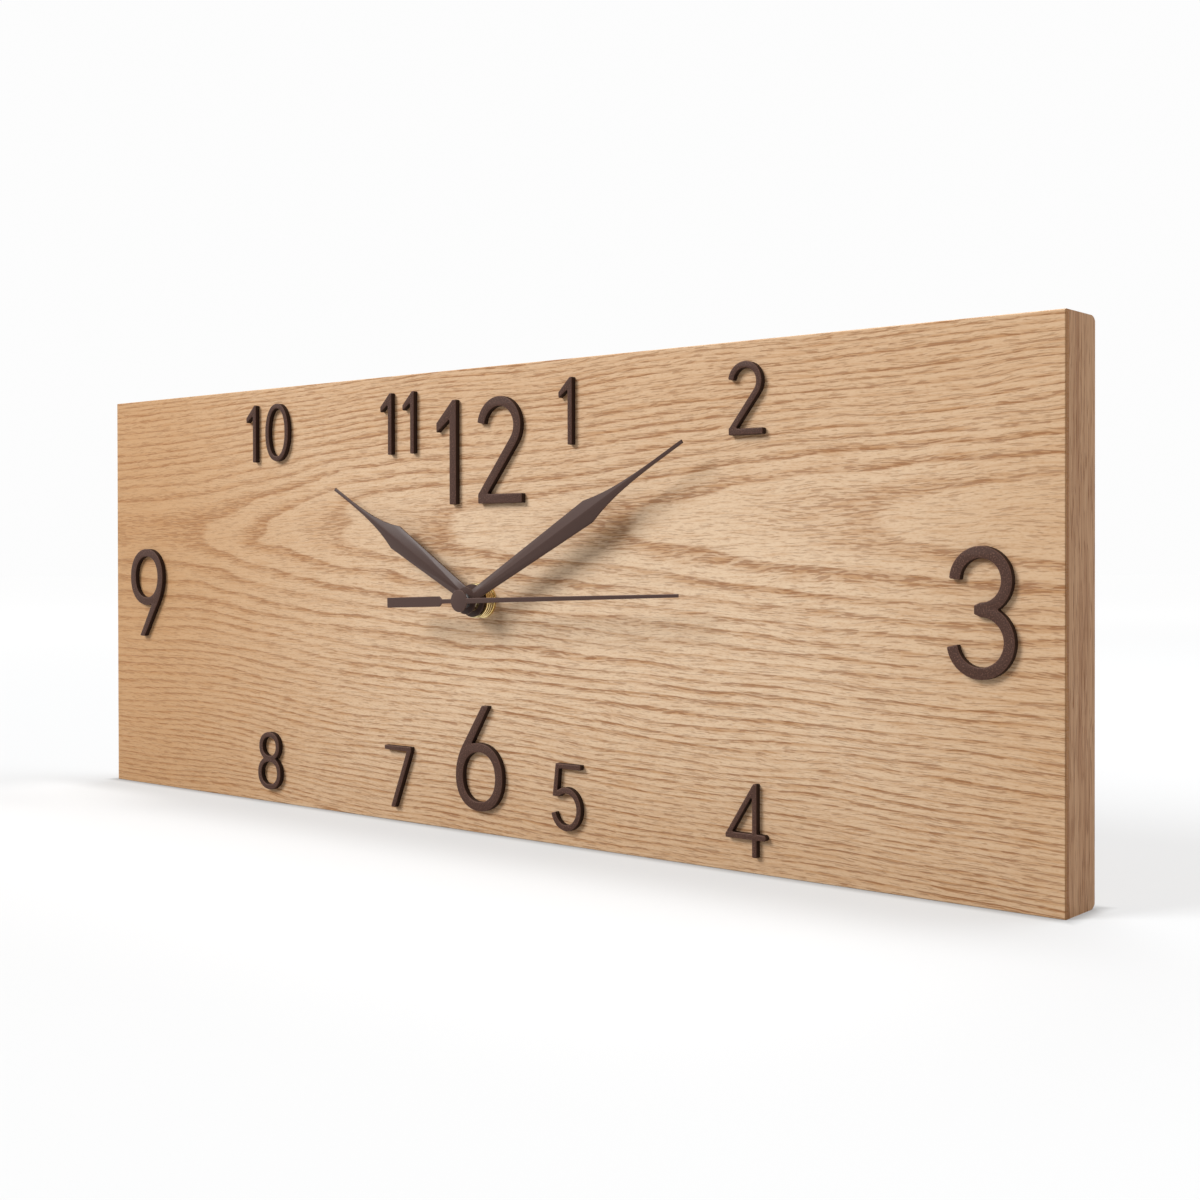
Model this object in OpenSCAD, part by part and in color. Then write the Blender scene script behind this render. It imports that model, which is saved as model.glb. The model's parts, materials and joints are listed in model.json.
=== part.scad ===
// Plank wall clock: an oak board with raised numerals, three hands and a recessed quartz movement.
// Every piece is drawn in the dial's frame: X right, Y up and Z out of the wall, from the middle
// of the board's back. The part is then stood up: X right, Y into the wall, Z up, with its origin
// in the middle of the keyhole that the clock hangs from.

/* [Board] */
// Width of the board
board_w = 400; // [370:1:460]
// Height of the board
board_h = 150; // [146:1:180]
// Thickness of the board
board_t = 18; // [17.8:0.1:22]
// Thickness of the oak face panel
face_t = 2; // [1.6:0.1:2.2]
// Thickness of the veneer on the back
back_t = 0.6; // [0.4:0.1:1]
// Thickness of the oak lipping round the edge
lipping_t = 3.2; // [2.9:0.1:4]
// Radius of the rounded long back edges
edge_r = 2.8; // [0.5:0.1:3.1]
// Radius of the eased upright back edges
end_r = 0.6; // [0.3:0.1:1.2]

/* [Dial] */
// Hand axis to the right of the board's middle
dial_x = 2.7; // [-4:0.1:4]
// Hand axis above the board's middle
dial_y = 0.1; // [-2:0.1:2]
// Height of the numerals 12, 3, 6 and 9
big_h = 34; // [30:0.1:36]
// Stroke of the numerals 12, 3, 6 and 9
big_stroke = 3.15; // [2.5:0.05:3.8]
// Height of the other numerals
small_h = 20.7; // [18:0.1:23]
// Stroke of the other numerals
small_stroke = 1.9; // [1.5:0.05:2.6]
// How far the numerals stand up from the face
numeral_t = 1.8; // [1:0.1:2.8]
// Space between the two digits of 12
gap_12 = 9.5; // [6:0.1:11]
// Space between the two digits of 10 and 11
gap_small = 5.3; // [3:0.1:6]
// Column of 12 and 6 to the right of the board's middle
col_middle = 2; // [-4:0.1:4]
// Inner column, as a part of the way from the middle column to the board's end
col_inner = 0.187; // [0.18:0.001:0.22]
// Outer column, as a part of the way from the middle column to the board's end
col_outer = 0.525; // [0.48:0.001:0.58]
// How far 8 sits to the right of its column
shift_8 = 0.7; // [-1:0.1:1]
// Middle of 3 and 9 from the board's ends
side_inset = 22; // [20:0.5:26]
// Space between the upper small numerals and the board's top edge
small_top = 5.9; // [3.6:0.1:8]
// Space between the lower small numerals and the board's bottom edge
small_bottom = 4.8; // [3.6:0.1:8]
// Space between 12 and the board's top edge
big_top = 9.9; // [6:0.1:11]
// Space between 6 and the board's bottom edge
big_bottom = 7.3; // [6:0.1:11]

/* [Hands] */
// Hour hand from the axis to its tip
hour_len = 75.5; // [60:0.5:80]
// Hour hand from the axis to its widest place
hour_shoulder = 41.5; // [30:0.5:48]
// Greatest width of the hour hand
hour_wide = 8.3; // [6:0.1:10]
// Width of the hour hand at the axis
hour_root = 4.2; // [3:0.1:5.4]
// Where the hour hand points, clockwise from 12
hour_at = 299.5; // [0:0.5:360]
// Minute hand from the axis to its tip
minute_len = 98; // [80:0.5:110]
// Minute hand from the axis to its widest place
minute_shoulder = 57.5; // [40:0.5:66]
// Greatest width of the minute hand
minute_wide = 7.4; // [6:0.1:9]
// Width of the minute hand at the axis
minute_root = 3.4; // [2.4:0.1:4.4]
// Where the minute hand points, clockwise from 12
minute_at = 61.4; // [0:0.1:360]
// Second hand from the axis to its tip
second_len = 87; // [70:0.5:110]
// Counterweight of the second hand, from the axis to its end
second_tail = 33; // [24:0.5:38]
// Width of the counterweight
second_tail_w = 3.3; // [2.4:0.1:5]
// Where the second hand points, clockwise from 12
second_at = 88; // [0:0.1:360]
// Sheet of the hour and minute hands
hand_t = 0.5; // [0.4:0.05:0.6]
// Slope of the two facets of a hand
hand_fold = 8; // [3:0.5:9]
// Diameter of the hour hand's hub
hour_hub_d = 10.5; // [9:0.1:12]
// Diameter of the minute hand's hub
minute_hub_d = 8.6; // [7:0.1:10]
// Diameter of the second hand's hub
second_hub_d = 7.1; // [5:0.1:9]

/* [Fixing] */
// Diameter of the threaded bush
bush_d = 8; // [7:0.1:9]
// Diameter of the round nut
nut_d = 11; // [10.6:0.1:14]
// Length of the round nut
nut_len = 3.6; // [2.8:0.1:4]
// Thickness of the brass washer
washer_t = 0.6; // [0.4:0.1:0.8]
// Thickness of the rubber gasket
gasket_t = 0.6; // [0.4:0.1:0.8]
// Gap round the bush in the board and in the gasket
bush_gap = 0.2; // [0.1:0.05:0.4]

/* [Movement] */
// Wall of the movement case
wall = 1.2; // [1:0.1:1.6]
// Gap between the case and its pocket
pocket_gap = 2; // [1:0.5:3]
// Outer radius of the second arbor
arbor_r = 0.5; // [0.4:0.02:0.5]
// Outer radius of the minute pipe
minute_pipe_r = 1.5; // [1.3:0.05:1.6]
// Outer radius of the hour pipe
hour_pipe_r = 2.5; // [2.2:0.05:2.6]
// Radial gap of each turning fit
run_gap = 0.07; // [0.04:0.01:0.09]
// Diameter of the battery cell
cell_d = 13.9; // [13.5:0.1:13.9]
// Length of the battery cell without its nub
cell_len = 49; // [48:0.1:51]
// Room for a battery contact at each end of the cell
contact_room = 2.3; // [2.1:0.1:3]
// Diameter of the setting knob
knob_d = 12; // [8:0.5:14]

/* [Hanger] */
// Keyhole below the board's top edge
hanger_drop = 23; // [21:0.5:25]
// Radius of the keyhole's round entry
keyhole_r = 4.6; // [3.6:0.1:5]
// Width of the keyhole's slot
slot_w = 4.4; // [3.2:0.1:5]
// Length of the keyhole's slot, from the entry's middle
slot_len = 8; // [7:0.5:9]
// Thickness of the hanger plate
hanger_t = 1.5; // [1:0.1:2]
// Depth of the hollow for the wall screw's head, from the back
head_depth = 9; // [6:0.5:11]

/* [Hidden] */
$fn = 48;
fit = 0.03;
cut = 1;
core_t = board_t - face_t - back_t;
inner_w = board_w - 2 * lipping_t;
inner_h = board_h - 2 * lipping_t;
hanger_y = board_h / 2 - hanger_drop;
upper_row = board_h / 2 - small_top - small_h / 2;
lower_row = -board_h / 2 + small_bottom + small_h / 2;
case_w = cell_len + 2 * (wall + contact_room);
pocket_w = case_w + 2 * pocket_gap;
pocket_corner = 4;
// front plane of the movement case, and the levels behind it
case_front = board_t - face_t - gasket_t;
front_wall = 1;
train_depth = 12.6;
cell_gap = 0.05;
cell_depth = front_wall + cell_gap + cell_d / 2;
bay_depth = cell_depth + cell_d / 2 + cell_gap;
cover_t = 1.2;
inside_r = case_w / 2 - wall;
cover_front = train_depth - cover_t;
pivot_depth = 0.6;
bay_gap = 0.35;
cell_y = -case_w / 2 + wall + bay_gap + cell_d / 2;
bay_top = cell_y + cell_d / 2 + bay_gap;
partition_t = 1;
post_r = 2.4;
post_at = inside_r - post_r + 0.4;
contact_t = 0.4;
// the contacts lie along the partition, and the two lower posts clear them
strip_y = bay_top + partition_t;
low_post = strip_y + contact_t + 0.2 + post_r;
// the turning axes, seen from the front
train_a = 7.2;
third_a = 7;
third_dir = 130;
mid_dir = 205;
rotor_dir = 160;
minute_dir = 60;
set_dir = 45;
mod_motion = 0.36;
mod_second = 0.24;
mod_third = 2 * third_a / 68;
mod_centre = 2 * third_a / 72;
rotor_a = mod_second * 28;
third_xy = polar(third_a, third_dir);
mid_xy = polar(train_a, mid_dir);
rotor_xy = mid_xy + polar(rotor_a, rotor_dir);
minute_xy = polar(train_a, minute_dir);
set_xy = minute_xy + polar(train_a, set_dir);
wheel_arbor_r = 0.45;
rotor_arbor_r = 0.35;
set_arbor_r = 0.9;
magnet_r = 2.8;
stator_hole_r = 3.3;
coil_x = 5.3 - inside_r;
stator_bend = coil_x + 6;
coil_low = low_post + post_r + 1.8;
coil_high = 13.5;
stator_front = 7.5;
stator_t = 0.7;
// the circuit board, in the lower right corner of the train's room
board_depth = 2;
board_thick = 1;
circuit_w = 14.8;
circuit_h = 17;
circuit_x = inside_r - 0.5 - circuit_w;
circuit_y = strip_y + 0.1;
contact_front = board_depth + board_thick;
cover_screw_r = 0.8;
cover_screw_len = 4.5;
// the bush ends level with the nut, and the hands follow in front of it
bush_end = board_t + washer_t + nut_len;
hand_step = 3;
hour_z = bush_end + 1.2;
minute_z = hour_z + hand_step;
second_z = minute_z + hand_step;
tip_half = 0.5;
plate_w = 44;
plate_gap = 0.2;
plate_low = keyhole_r + 4;
plate_high = slot_len + slot_w / 2 + 4;
screw_x = 16;
screw_r = 1.5;
screw_head_r = 3;
screw_len = 11.5;
head_sink = 0.1;

function polar(r, a) = [r * cos(a), r * sin(a)];
function flip(v) = [for (i = [len(v) - 1 : -1 : 0]) v[i]];
// Points along an ellipse with the half widths r, from the angle a0 to a1
function arc(c, r, a0, a1, n) = [for (i = [0 : n]) let (a = a0 + (a1 - a0) * i / n)
    c + [r[0] * cos(a), r[1] * sin(a)]];
// Points of an oval with the half widths r, a little fuller than an ellipse
function fuller(x) = sign(x) * pow(abs(x), 0.93);
function oval(c, r, n) = [for (i = [0 : n - 1]) let (a = 360 * i / n)
    c + [r[0] * fuller(cos(a)), r[1] * fuller(sin(a))]];
// Points along a curve from a to b that starts and ends in line with the corner p
function bend(a, p, b, n) = [for (i = [0 : n]) let (t = i / n)
    (1 - t) * (1 - t) * a + 2 * t * (1 - t) * p + t * t * b];
// Unit vector to the left of a path at its point i
function left_of(p, i) = let (a = p[max(i - 1, 0)], b = p[min(i + 1, len(p) - 1)], d = (b - a) / norm(b - a))
    [-d[1], d[0]];
// Outline of a stroke of width w along a path
function ribbon(p, w) = concat([for (i = [0 : len(p) - 1]) p[i] - left_of(p, i) * w / 2],
    flip([for (i = [0 : len(p) - 1]) p[i] + left_of(p, i) * w / 2]));
// Four points to each tooth: thin stub teeth that leave backlash on both sides
function teeth(n, m, phase) = [for (i = [0 : n - 1], k = [0 : 3])
    polar(m * n / 2 + (k == 1 || k == 2 ? 0.72 : -1.12) * m, phase + (i + [-0.2, -0.08, 0.08, 0.2][k]) * 360 / n)];
// Phase of a gear b that meshes with a gear a, in the direction dir from a to b
function meshed(na, pa, dir, nb) = dir + 180 + 180 / nb - (pa - dir) * na / nb;

// Stands the dial's frame up and moves its origin to the keyhole
module stand() {
    translate([0, 0, -hanger_y])
        rotate([90, 0, 0])
            children();
}

// Moves a piece to the hand axis
module on_axis() {
    translate([dial_x, dial_y, 0])
        children();
}

// Plate between two depths behind the front of the movement case, at the hand axis
module layer(front, back) {
    translate([dial_x, dial_y, case_front - back])
        linear_extrude(height = back - front)
            children();
}

module at(p) {
    translate([p[0], p[1]])
        children();
}

// Square with rounded corners
module round_square(w, h, r) {
    union() {
        square([w, h - 2 * r], center = true);
        square([w - 2 * r, h], center = true);
        for (x = [-1, 1], y = [-1, 1])
            translate([x * (w / 2 - r), y * (h / 2 - r)])
                circle(r);
    }
}

// Cross section of the board behind its face panel, w by t, with its two back edges rounded by r
module edge_profile(w, t, r) {
    union() {
        translate([-w / 2, r])
            square([w, t - r]);
        translate([-w / 2 + r, 0])
            square([w - 2 * r, t]);
        for (x = [-1, 1])
            translate([x * (w / 2 - r), r])
                circle(r);
    }
}

// The board behind its face panel, before it is split into core and lipping
module board_blank() {
    intersection() {
        translate([0, board_h / 2, 0])
            rotate([90, 0, 0])
                linear_extrude(height = board_h)
                    edge_profile(board_w, board_t - face_t, end_r);
        translate([-board_w / 2, 0, 0])
            rotate([90, 0, 90])
                linear_extrude(height = board_w)
                    edge_profile(board_h, board_t - face_t, edge_r);
    }
}

// Keyhole outline, grown by a margin
module keyhole(margin) {
    union() {
        circle(keyhole_r + margin);
        translate([-slot_w / 2 - margin, 0])
            square([slot_w + 2 * margin, slot_len]);
        translate([0, slot_len])
            circle(slot_w / 2 + margin);
    }
}

// Outline of the hanger plate, around the keyhole's entry
module plate_outline(gap) {
    translate([0, (plate_high - plate_low) / 2])
        round_square(plate_w + 2 * gap, plate_high + plate_low + 2 * gap, 4 + gap);
}

// Cuts that the back of the board takes for the movement and the hanger
module back_cuts() {
    translate([dial_x, dial_y, -cut])
        linear_extrude(height = board_t - face_t + 2 * cut)
            round_square(pocket_w, pocket_w, pocket_corner);
    translate([0, hanger_y, -cut])
        linear_extrude(height = hanger_t + cut)
            plate_outline(plate_gap);
    translate([0, hanger_y, -cut])
        linear_extrude(height = head_depth + cut)
            keyhole(3);
    translate([0, hanger_y, 0])
        screw_pair(fit, screw_len + 0.5);
}

// The hanger's two countersunk screws, grown by a gap
module screw_pair(gap, length) {
    for (x = [-1, 1])
        translate([x * screw_x, 0, 0])
            union() {
                translate([0, 0, head_sink - gap])
                    cylinder(r = screw_r + gap, h = length - head_sink);
                translate([0, 0, head_sink - gap])
                    cylinder(r1 = screw_head_r + gap, r2 = screw_r + gap, h = screw_head_r - screw_r);
            }
}

module face_panel() {
    color("burlywood")
        difference() {
            translate([-board_w / 2, -board_h / 2, board_t - face_t])
                cube([board_w, board_h, face_t]);
            translate([dial_x, dial_y, board_t - face_t - cut])
                cylinder(r = bush_d / 2 + bush_gap, h = face_t + 2 * cut);
        }
}

module core_panel() {
    color("tan")
        difference() {
            translate([-inner_w / 2, -inner_h / 2, back_t])
                cube([inner_w, inner_h, core_t]);
            back_cuts();
        }
}

module back_veneer() {
    color("wheat")
        difference() {
            translate([-inner_w / 2, -inner_h / 2, 0])
                cube([inner_w, inner_h, back_t]);
            back_cuts();
        }
}

// Strip of the board's rim between two corners in the dial plane
module lipping(low, high) {
    color("peru")
        intersection() {
            board_blank();
            translate([low[0], low[1], -cut])
                cube([high[0] - low[0], high[1] - low[1], board_t + 2 * cut]);
        }
}

module lipping_top() {
    lipping([-inner_w / 2, inner_h / 2], [inner_w / 2, board_h / 2]);
}

module lipping_bottom() {
    lipping([-inner_w / 2, -board_h / 2], [inner_w / 2, -inner_h / 2]);
}

module lipping_left() {
    lipping([-board_w / 2, -board_h / 2], [-inner_w / 2, board_h / 2]);
}

module lipping_right() {
    lipping([inner_w / 2, -board_h / 2], [board_w / 2, board_h / 2]);
}

// Width of a digit, as a part of its height
function digit_w(d) = [0.615, 0.267, 0.572, 0.561, 0.668, 0.593, 0.612, 0.618, 0.61, 0.612][d];

// One digit of height h and stroke w, from its lower left corner
module digit(d, h, w) {
    if (d == 0)
        digit_0(h, w);
    if (d == 1)
        digit_1(h, w);
    if (d == 2)
        digit_2(h, w);
    if (d == 3)
        digit_3(h, w);
    if (d == 4)
        digit_4(h, w);
    if (d == 5)
        digit_5(h, w);
    if (d == 6)
        digit_6(h, w);
    if (d == 7)
        digit_7(h, w);
    if (d == 8)
        digit_8(h, w);
    if (d == 9)
        translate([digit_w(6) * h, h])
            rotate(180)
                digit_6(h, w);
}

// Closed loop with the outer half widths r, its sides a little heavier than its top
module hoop(c, r, w) {
    difference() {
        polygon(oval(c, r, 64));
        polygon(oval(c, r - [1.05 * w, 0.94 * w], 64));
    }
}

module digit_0(h, w) {
    r = [digit_w(0) * h / 2, h / 2];
    hoop(r, r, w);
}

module digit_1(h, w) {
    right = digit_w(1) * h;
    stem = right - 0.96 * w;
    polygon([[right, 0], [right, h], [right - 0.05 * h, h], [0, 0.787 * h], [0, 0.69 * h],
        [stem, 0.818 * h], [stem, 0]]);
}

module digit_2(h, w) {
    r = 0.278 * h;
    c = [r, h - r];
    bar = 0.95 * w;
    heel = [0.012 * h, bar];
    foot = heel - c;
    touch = atan2(foot[1], foot[0]) + acos((r - w) / norm(foot));
    middle = [r, r] - [w, w] / 2;
    union() {
        polygon(ribbon(concat(arc(c, middle, 172, touch, 26), [heel + polar(w / 2, touch)]), w));
        translate([heel[0], 0])
            square([digit_w(2) * h - heel[0], bar]);
    }
}

module digit_3(h, w) {
    top_r = 0.258 * h;
    low_r = digit_w(3) * h / 2;
    half = [w, w] / 2;
    low = 2 * low_r - w;
    high = h - 2 * top_r + w;
    waist = (low + high) / 2;
    union() {
        polygon(ribbon(arc([low_r, h - top_r], [top_r, top_r] - half, 178, -90, 28), w));
        polygon(ribbon(arc([low_r, low_r], [low_r, low_r] - half, 90, -172, 28), w));
        translate([low_r, 0])
            polygon([[-0.052 * h, waist - 0.35 * w], [0, low], [0.03 * h, low], [0.03 * h, high], [0, high],
                [-0.052 * h, waist + 0.35 * w]]);
    }
}

module digit_4(h, w) {
    right = 0.517 * h;
    stem = right - 0.84 * w;
    half = 0.45 * w;
    bar = 0.28 * h;
    heel = bar + 0.12 * w;
    peak = right - 0.65 * w;
    slope = (h - heel) / peak;
    slant = 0.97 * w;
    end = digit_w(4) * h - half;
    union() {
        difference() {
            polygon([[0, bar - half], [0, heel], [peak, h], [right, h], [right, 0], [stem, 0],
                [stem, bar - half]]);
            polygon([[slant + (bar + half - heel) / slope, bar + half], [stem, bar + half],
                [stem, heel + (stem - slant) * slope]]);
        }
        translate([stem, bar - half])
            square([end - stem, 2 * half]);
        translate([end, bar])
            circle(half);
    }
}

module digit_5(h, w) {
    r = [digit_w(5) * h / 2, 0.326 * h];
    bowl = arc(r, r - [w, w] / 2, 130, -167, 30);
    side = left_of(bowl, 0) * w / 2;
    heel = [0.034 * h, 0.505 * h];
    top = [0.097 * h, h];
    bar = 0.83 * w;
    union() {
        polygon(ribbon(bowl, w));
        polygon([heel, top, top + [0.8 * w, 0], heel + [0.95 * w, 0]]);
        polygon([heel, bowl[0] + side, bowl[0] - side]);
        translate(top - [0, bar])
            square([0.488 * h, bar]);
    }
}

module digit_6(h, w) {
    r = [digit_w(6) * h / 2, 0.322 * h];
    lean = 1.53;
    tip = [0.345 * h, h];
    elbow = tip - 0.2535 * h * [1, lean];
    corner = tip - tip[0] * [1, lean];
    notch = [0.104 * h + 1.13 * w, 0.63 * h];
    difference() {
        union() {
            polygon(oval(r, r, 64));
            polygon(concat(bend([0, r[1]], corner, elbow, 8), [tip, tip + [0.96 * w, 0], notch, r]));
        }
        polygon(oval(r, r - [1.05 * w, 0.94 * w], 64));
    }
}

module digit_7(h, w) {
    right = digit_w(7) * h;
    bar = h - 0.78 * w;
    slant = 1.1 * w;
    foot = 0.145 * h;
    polygon([[0, h], [0, bar], [right - slant, bar], [foot, 0], [foot + slant, 0], [right, bar], [right, h]]);
}

module digit_8(h, w) {
    low = [digit_w(8) * h / 2, 0.284 * h];
    top = [0.272 * h, 0.25 * h];
    union() {
        hoop(low, low, w);
        hoop([low[0], h - top[1]], top, w);
    }
}

// Numeral of one or two digits around its middle, standing on the face
module numeral(digits, h, w, gap, middle) {
    first = digit_w(digits[0]) * h;
    total = len(digits) == 1 ? first : first + gap + digit_w(digits[1]) * h;
    color("saddlebrown")
        translate([middle[0] - total / 2, middle[1] - h / 2, board_t])
            linear_extrude(height = numeral_t)
                union() {
                    digit(digits[0], h, w);
                    if (len(digits) == 2)
                        translate([first + gap, 0])
                            digit(digits[1], h, w);
                }
}

// Column on the side -1 or 1, at a share of the way from the middle column to that end
function column(side, share) = col_middle + share * (side * board_w / 2 - col_middle);

module small_numeral(digits, x, y) {
    numeral(digits, small_h, small_stroke, gap_small, [x, y]);
}

module big_numeral(digits, x, y) {
    numeral(digits, big_h, big_stroke, gap_12, [x, y]);
}

module numeral_1() {
    small_numeral([1], column(1, col_inner), upper_row);
}

module numeral_2() {
    small_numeral([2], column(1, col_outer), upper_row);
}

module numeral_3() {
    big_numeral([3], board_w / 2 - side_inset, 0);
}

module numeral_4() {
    small_numeral([4], column(1, col_outer), lower_row);
}

module numeral_5() {
    small_numeral([5], column(1, col_inner), lower_row);
}

module numeral_6() {
    big_numeral([6], col_middle, -board_h / 2 + big_bottom + big_h / 2);
}

module numeral_7() {
    small_numeral([7], column(-1, col_inner), lower_row);
}

module numeral_8() {
    small_numeral([8], column(-1, col_outer) + shift_8, lower_row);
}

module numeral_9() {
    big_numeral([9], -board_w / 2 + side_inset, 0);
}

module numeral_10() {
    small_numeral([1, 0], column(-1, col_outer), upper_row);
}

module numeral_11() {
    small_numeral([1, 1], column(-1, col_inner), upper_row);
}

module numeral_12() {
    big_numeral([1, 2], col_middle, board_h / 2 - big_top - big_h / 2);
}

// Half width of a hand beyond its shoulder: t runs from 0 at the shoulder to 1 at the tip
function taper(half, t) = tip_half + (half - tip_half) * pow(1 - t, 3.6);

// Outline of a hand that points along Y
function hand_side(length, shoulder, half, root) = concat([[root, 0]],
    [for (i = [0 : 10]) [taper(half, i / 10), shoulder + (length - shoulder) * i / 10]]);
function hand_outline(length, shoulder, half, root) = let (s = hand_side(length, shoulder, half, root))
    concat(s, flip([for (p = s) [-p[0], p[1]]]));

// Sheet hand with a ridge along its middle, its ridge at z = 0
module folded_hand(length, shoulder, wide, root, hub_r, hole_r) {
    difference() {
        union() {
            intersection() {
                translate([0, 0, -3])
                    linear_extrude(height = 3)
                        polygon(hand_outline(length, shoulder, wide / 2, root / 2));
                union() {
                    for (side = [-1, 1])
                        rotate([0, side * hand_fold, 0])
                            translate([side > 0 ? 0 : -wide, -1, -hand_t])
                                cube([wide, length + 2, hand_t]);
                }
            }
            translate([0, 0, -hand_t])
                cylinder(r = hub_r, h = hand_t);
        }
        translate([0, 0, -3])
            cylinder(r = hole_r, h = 4);
    }
}

module tube(outer, inner, low, high) {
    translate([0, 0, low])
        difference() {
            cylinder(r = outer, h = high - low);
            translate([0, 0, -cut])
                cylinder(r = inner, h = high - low + 2 * cut);
        }
}

module hour_hand() {
    color("dimgray")
        on_axis()
            translate([0, 0, hour_z])
                rotate(-hour_at)
                    folded_hand(hour_len, hour_shoulder, hour_wide, hour_root, hour_hub_d / 2,
                        hour_pipe_r + 0.8 + fit);
}

module hour_hand_bush() {
    color("goldenrod")
        on_axis()
            tube(hour_pipe_r + 0.8, hour_pipe_r + fit, bush_end + 0.2, hour_z + 0.2);
}

module minute_hand() {
    color("dimgray")
        on_axis()
            translate([0, 0, minute_z])
                rotate(-minute_at)
                    folded_hand(minute_len, minute_shoulder, minute_wide, minute_root, minute_hub_d / 2,
                        minute_pipe_r + 0.8 + fit);
}

module minute_hand_bush() {
    color("silver")
        on_axis()
            tube(minute_pipe_r + 0.8, minute_pipe_r + fit, hour_z + 1, minute_z + 0.2);
}

module second_hand() {
    neck = second_hub_d / 2 + 4;
    half = second_tail_w / 2;
    color("dimgray")
        on_axis()
            translate([0, 0, second_z - hand_t])
                rotate(-second_at)
                    linear_extrude(height = hand_t)
                        union() {
                            circle(second_hub_d / 2);
                            polygon([[0.85, 0], [tip_half, second_len], [-tip_half, second_len], [-0.85, 0]]);
                            polygon([[0.7, 0], [-0.7, 0], [-0.7, -neck], [-half, -neck - 1.2],
                                [-half, -second_tail], [half, -second_tail], [half, -neck - 1.2],
                                [0.7, -neck]]);
                        }
}

module second_hand_tube() {
    color("silver")
        on_axis()
            tube(arbor_r + 0.7, arbor_r + fit, minute_z + 1, second_z - hand_t);
}

// Round nut with four grooves round it
module fixing_nut() {
    pitch = nut_len / 4;
    low = board_t + washer_t;
    color("gold")
        on_axis()
            difference() {
                tube(nut_d / 2, bush_d / 2 + fit, low, low + nut_len);
                for (i = [0 : 3])
                    translate([0, 0, low + (i + 0.5) * pitch])
                        rotate_extrude()
                            polygon([[nut_d / 2 + 0.1, pitch * 0.34], [nut_d / 2 + 0.1, -pitch * 0.34],
                                [nut_d / 2 - 0.3, -pitch * 0.1], [nut_d / 2 - 0.3, pitch * 0.1]]);
            }
}

module fixing_washer() {
    color("goldenrod")
        on_axis()
            tube(nut_d / 2 + 0.2, bush_d / 2 + bush_gap, board_t, board_t + washer_t);
}

module threaded_bush() {
    color("gold")
        on_axis()
            difference() {
                union() {
                    translate([0, 0, case_front - front_wall])
                        cylinder(r = bush_d / 2, h = bush_end - case_front + front_wall);
                    translate([0, 0, case_front - front_wall])
                        cylinder(r = bush_d / 2 + 0.6, h = front_wall);
                }
                translate([0, 0, case_front - front_wall - cut])
                    cylinder(r = hour_pipe_r + run_gap, h = bush_end - case_front + front_wall + 2 * cut);
            }
}

module case_gasket() {
    color("black")
        on_axis()
            tube(12, bush_d / 2 + bush_gap, case_front, case_front + gasket_t);
}

// Blind or through hole for an arbor, in the dial plane
module arbor_hole(p, r, front, back) {
    translate([dial_x, dial_y, 0])
        translate([p[0], p[1], case_front - back])
            cylinder(r = r, h = back - front);
}

module corner_posts(r) {
    for (x = [-1, 1])
        translate([x * post_at, post_at])
            circle(r);
    for (x = [-1, 1])
        translate([x * post_at, low_post])
            circle(r);
}

module movement_case() {
    color("black")
        difference() {
            union() {
                layer(0, front_wall)
                    square(case_w, center = true);
                layer(front_wall, train_depth)
                    difference() {
                        translate([-case_w / 2, bay_top])
                            square([case_w, case_w / 2 - bay_top]);
                        translate([-inside_r, bay_top + partition_t])
                            square([2 * inside_r, inside_r - bay_top - partition_t]);
                    }
                layer(front_wall, bay_depth)
                    difference() {
                        translate([-case_w / 2, -case_w / 2])
                            square([case_w, case_w / 2 + bay_top]);
                        translate([-inside_r, -inside_r])
                            square([2 * inside_r, inside_r + bay_top]);
                    }
                layer(front_wall, cover_front)
                    corner_posts(post_r);
                layer(front_wall, stator_front)
                    for (y = [coil_low, coil_high])
                        translate([coil_x - 3, y])
                            circle(1.3);
                layer(front_wall, board_depth)
                    for (p = [[2, 2.4], [circuit_w - 1.8, circuit_h - 2.6]])
                        at([circuit_x, circuit_y] + p)
                            circle(1.2);
            }
            arbor_hole([0, 0], bush_d / 2 + 0.6 + fit, -cut, front_wall + cut);
            for (p = [third_xy, mid_xy, minute_xy])
                arbor_hole(p, wheel_arbor_r + run_gap, front_wall - pivot_depth, front_wall + cut);
            arbor_hole(rotor_xy, rotor_arbor_r + run_gap, front_wall - pivot_depth, front_wall + cut);
            arbor_hole(set_xy, set_arbor_r + run_gap, front_wall - pivot_depth, front_wall + cut);
            layer(contact_front - 0.2, contact_front + 2.2)
                translate([cell_len / 2 + 0.9 - 0.2, bay_top - cut])
                    square([contact_t + 0.5, partition_t + 2 * cut]);
            layer(contact_front - 0.2, contact_front + 2.2)
                translate([-inside_r, bay_top - cut])
                    square([contact_t + 0.3, partition_t + 2 * cut]);
            for (x = [-1, 1], y = [post_at, low_post])
                arbor_hole([x * post_at, y], cover_screw_r + fit, cover_front - cover_screw_len - 0.5,
                    cover_front + cut);
        }
}

module rear_cover() {
    color("dimgray")
        difference() {
            layer(cover_front, train_depth)
                translate([-inside_r + 0.1, bay_top + partition_t + 0.1])
                    square([2 * inside_r - 0.2, inside_r - bay_top - partition_t - 0.2]);
            for (p = [third_xy, mid_xy, minute_xy])
                arbor_hole(p, wheel_arbor_r + run_gap, cover_front - cut, cover_front + pivot_depth);
            arbor_hole([0, 0], arbor_r + run_gap, cover_front - cut, cover_front + pivot_depth);
            arbor_hole(rotor_xy, rotor_arbor_r + run_gap, cover_front - cut, cover_front + pivot_depth);
            arbor_hole(set_xy, set_arbor_r + run_gap, cover_front - cut, train_depth + cut);
            for (x = [-1, 1], y = [post_at, low_post])
                arbor_hole([x * post_at, y], cover_screw_r + fit, cover_front - cut, train_depth + cut);
        }
}

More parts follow.
